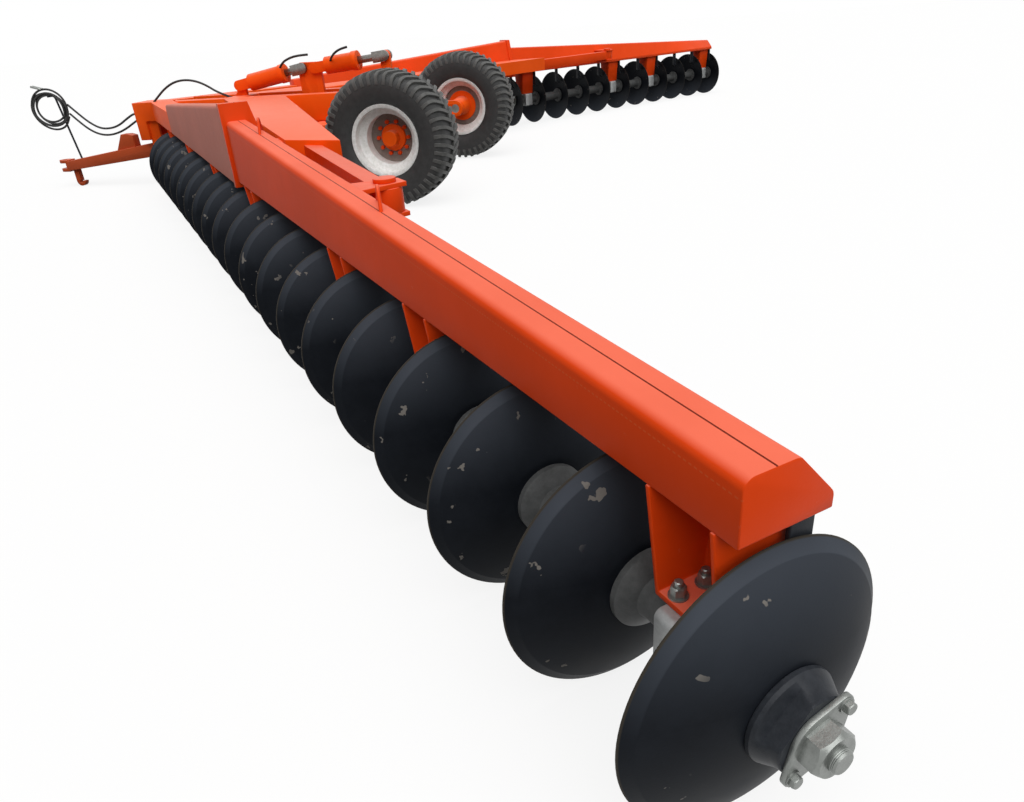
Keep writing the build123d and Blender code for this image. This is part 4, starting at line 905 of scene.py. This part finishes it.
# Routes of the hoses as (across, station from the rear, height)
HOSE_UPPER = [(-0.036, 6.420, 0.778), (-0.036, 6.506, 0.778), (-0.040, 6.620, 0.722), (-0.042, 6.735, 0.660),
              (-0.043, 6.850, 0.630), (-0.044, 6.985, 0.632), (-0.045, 7.112, 0.700), (-0.046, 7.224, 0.800),
              (-0.048, 7.330, 0.905)]
HOSE_LOWER = [(0.036, 6.420, 0.716), (0.036, 6.500, 0.716), (0.030, 6.600, 0.668), (0.018, 6.705, 0.612),
              (0.004, 6.815, 0.572), (-0.010, 6.925, 0.554), (-0.022, 7.030, 0.566), (-0.032, 7.130, 0.612),
              (-0.040, 7.232, 0.698), (-0.047, 7.335, 0.808)]
HOSE_ARCH = [(-0.110, 6.173, 0.880), (-0.112, 6.080, 0.952), (-0.114, 5.970, 1.026), (-0.116, 5.845, 1.078),
             (-0.118, 5.712, 1.092), (-0.120, 5.580, 1.072), (-0.122, 5.460, 1.020), (-0.124, 5.355, 0.950),
             (-0.125, 5.180, 0.885)]
HOSE_WHIP_FRONT = [(-0.056, 4.619, 1.144), (-0.108, 4.556, 1.196), (-0.130, 4.456, 1.236),
                   (-0.138, 4.350, 1.256), (-0.140, 4.240, 1.258)]
HOSE_WHIP_REAR = [(-0.065, 4.037, 1.184), (-0.118, 4.000, 1.216), (-0.140, 3.940, 1.262),
                  (-0.146, 3.870, 1.292), (-0.146, 3.800, 1.304)]
COIL_TURNS = 5
COIL_STEPS = 16
COIL_STATION = 7.570
COIL_HEIGHT = 0.864


def station(route):
    """Points in the shared frame from a route."""
    return [(x, y - OVERALL_LENGTH / 2, z) for x, y, z in route]


def coil_route():
    """Loose turns of the coil on the stand, no two alike, that fan out across it."""
    route = []
    for i in range(COIL_TURNS * COIL_STEPS + 1):
        turn = i / COIL_STEPS
        angle = 2.0 * math.pi * turn + math.radians(205.0)
        wobble = 0.018 * math.sin(turn * 5.1) + 0.012 * math.sin(turn * 2.3 + 1.0)
        spread_y = 0.212 + 0.030 * math.sin(turn * 3.3) + wobble
        spread_z = 0.176 + 0.026 * math.cos(turn * 2.7) + wobble
        y = COIL_STATION + spread_y * math.cos(angle)
        z = COIL_HEIGHT + spread_z * math.sin(angle)
        route.append((-0.030 - 0.036 * turn / COIL_TURNS, y, z))
    return route


def hose_curve(name, points, diameter):
    """Round hose on its route's spline."""
    piece = route_curve(name, points, diameter / 2.0, 5, 10)
    piece.data.materials.append(MATERIALS["hose_rubber"])
    return piece


def meshed(piece):
    """Mesh object in place of a curve, for a hose that runs between two bodies."""
    name = piece.name
    return linked(name, smooth(evaluated_mesh(piece), 40.0))


class HARROW_OT_hoses(bpy.types.Operator):
    """Hydraulic hoses, their coil and couplers"""

    bl_idname = "harrow.hoses"
    bl_label = "Hoses"

    def execute(self, context):
        diameter = context.scene.harrow_sizes.hose_diameter
        fittings = dress("hose_couplers", "zinc_plate", 0.002)
        turns = station(coil_route())
        coil = hose_curve("hose_turns", turns, diameter)
        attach(coil, "tongue")
        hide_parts("hose_coil")
        for node, route, bodies, end in (
            ("hose_upper", HOSE_UPPER, ("frame", "tongue"), "object"),
            ("hose_lower", HOSE_LOWER, ("frame", "tongue"), "object"),
            ("hose_arch", HOSE_ARCH, ("frame",), "object"),
            ("hose_whip_front", HOSE_WHIP_FRONT, ("barrel_front",), "bare"),
            ("hose_whip_rear", HOSE_WHIP_REAR, ("barrel_rear",), "bare"),
        ):
            points = station(route)
            piece = hose_curve(node + "_line", points, diameter)
            if len(bodies) == 2:
                piece = meshed(piece)
                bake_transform(piece)
            else:
                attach(piece, *bodies)
            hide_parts(node)
        return {"FINISHED"}


FLOOR_HALF = 60.0
# Share of the floor's seen colour that is its own, so that its shadow stays
FLOOR_GLOW = 0.84
DIM_WORLD = 0.26
SKY_STRENGTH = 2.9
SKY_ANGLE = math.radians(75.0)
SKY_DIRECTION = Vector((0.45, 0.30, -1.0))
CAMERA_PLACE = Vector((-7.913, -3.439, 1.523))
CAMERA_RIGHT = Vector((0.2115, -0.9751, -0.0662))
CAMERA_FORWARD = Vector((0.8614, 0.2180, -0.4587))
CAMERA_LENS = 26.57


def seen_rays(tree):
    """1 for what the camera sees, also in a reflection or through a clear piece, and 0 for other light."""
    rays = add_node(tree, "ShaderNodeLightPath").outputs
    seen = rays["Is Camera Ray"]
    for name in ("Is Glossy Ray", "Is Transmission Ray"):
        seen = add_node(tree, "ShaderNodeMath", {"operation": "MAXIMUM", 0: seen, 1: rays[name]}).outputs[0]
    return seen


def floor_material():
    """Pale matt floor to the camera, darker in the light that it throws back on the object."""
    tree, shader, place = new_material("pale_floor")
    shader.inputs["Roughness"].default_value = 0.95
    shader.inputs["Specular IOR Level"].default_value = 0.0
    seen = seen_rays(tree)
    tone = add_node(tree, "ShaderNodeMix",
                    {"data_type": "RGBA", 0: seen, 6: hex_colour("#5c5c5a"), 7: hex_colour("#f4f4f3")})
    tree.links.new(tone.outputs[2], shader.inputs["Base Color"])
    glow = add_node(tree, "ShaderNodeEmission", {"Color": (1, 1, 1, 1), "Strength": 1.0}).outputs[0]
    share = add_node(tree, "ShaderNodeMath", {"operation": "MULTIPLY", 0: seen, 1: FLOOR_GLOW}).outputs[0]
    both = add_node(tree, "ShaderNodeMixShader", {0: share, 1: shader.outputs[0], 2: glow})
    output = next(node for node in tree.nodes if node.type == "OUTPUT_MATERIAL")
    tree.links.new(both.outputs[0], output.inputs["Surface"])


def lay_floor():
    """Wide flat floor under the machine."""
    floor_material()
    floor = bpy.data.meshes.new("floor")
    corners = [(x * FLOOR_HALF, y * FLOOR_HALF, 0.0) for x, y in ((-1, -1), (1, -1), (1, 1), (-1, 1))]
    floor.from_pydata(corners, [], [(0, 1, 2, 3)])
    floor.materials.append(MATERIALS["pale_floor"])
    linked("floor", floor)


def light_world(scene):
    """Even dim light all round that the camera sees as white."""
    world = bpy.data.worlds.new("studio")
    scene.world = world
    world.use_nodes = True
    tree = world.node_tree
    tree.nodes.clear()
    dim = add_node(tree, "ShaderNodeBackground", {"Color": (1, 1, 1, 1), "Strength": DIM_WORLD}).outputs[0]
    white = add_node(tree, "ShaderNodeBackground", {"Color": (1, 1, 1, 1), "Strength": 1.0}).outputs[0]
    mix = add_node(tree, "ShaderNodeMixShader", {0: seen_rays(tree), 1: dim, 2: white})
    add_node(tree, "ShaderNodeOutputWorld", {"Surface": mix.outputs[0]})


def hang_sky():
    """Wide soft lamp, as a bright overcast sky."""
    sky = bpy.data.lights.new("sky", "SUN")
    sky.energy = SKY_STRENGTH
    sky.angle = SKY_ANGLE
    item = linked("sky", sky)
    item.location = (0.0, 0.0, 8.0)
    item.rotation_euler = SKY_DIRECTION.to_track_quat("-Z", "Y").to_euler()


def set_camera(scene):
    """Camera fitted to the photograph."""
    camera = bpy.data.cameras.new("camera")
    camera.sensor_width = 36.0
    camera.lens = CAMERA_LENS
    camera.clip_end = 200.0
    forward = CAMERA_FORWARD.normalized()
    right = (CAMERA_RIGHT - forward * CAMERA_RIGHT.dot(forward)).normalized()
    up = right.cross(forward)
    turn = Matrix((right, up, -forward)).transposed().to_4x4()
    eye = linked("camera", camera)
    eye.matrix_world = Matrix.Translation(CAMERA_PLACE) @ turn
    scene.camera = eye


class HARROW_OT_stage(bpy.types.Operator):
    """Floor, light and camera"""

    bl_idname = "harrow.stage"
    bl_label = "Stage"

    def execute(self, context):
        lay_floor()
        light_world(context.scene)
        hang_sky()
        set_camera(context.scene)
        context.scene.view_settings.view_transform = "Standard"
        return {"FINISHED"}


class HARROW_PT_panel(bpy.types.Panel):
    """Lists the pieces of the harrow"""

    bl_idname = "HARROW_PT_panel"
    bl_label = "Disc harrow"
    bl_space_type = "VIEW_3D"
    bl_region_type = "UI"
    bl_category = "Harrow"

    def draw(self, context):
        column = self.layout.column()
        for group in (context.scene.harrow_sizes, context.scene.harrow_colours):
            for name in group.__annotations__:
                column.prop(group, name)
        for operator in OPERATORS:
            column.operator(operator.bl_idname)


OPERATORS = (HARROW_OT_stage, HARROW_OT_hoses, HARROW_OT_gangs, HARROW_OT_structure, HARROW_OT_wheels)
CLASSES = (HarrowSizes, HarrowColours, *OPERATORS, HARROW_PT_panel)


def register():
    """Registers the classes and the scene's settings."""
    for item in CLASSES:
        bpy.utils.register_class(item)
    bpy.types.Scene.harrow_sizes = bpy.props.PointerProperty(type=HarrowSizes)
    bpy.types.Scene.harrow_colours = bpy.props.PointerProperty(type=HarrowColours)


def unregister():
    """Removes the classes and the scene's settings."""
    del bpy.types.Scene.harrow_colours
    del bpy.types.Scene.harrow_sizes
    for item in reversed(CLASSES):
        bpy.utils.unregister_class(item)


def main():
    """Dresses the frame."""
    register()
    make_materials(bpy.context.scene.harrow_colours)
    for operator in OPERATORS:
        group, name = operator.bl_idname.split(".")
        getattr(getattr(bpy.ops, group), name)()


if __name__ == "__main__":
    main()
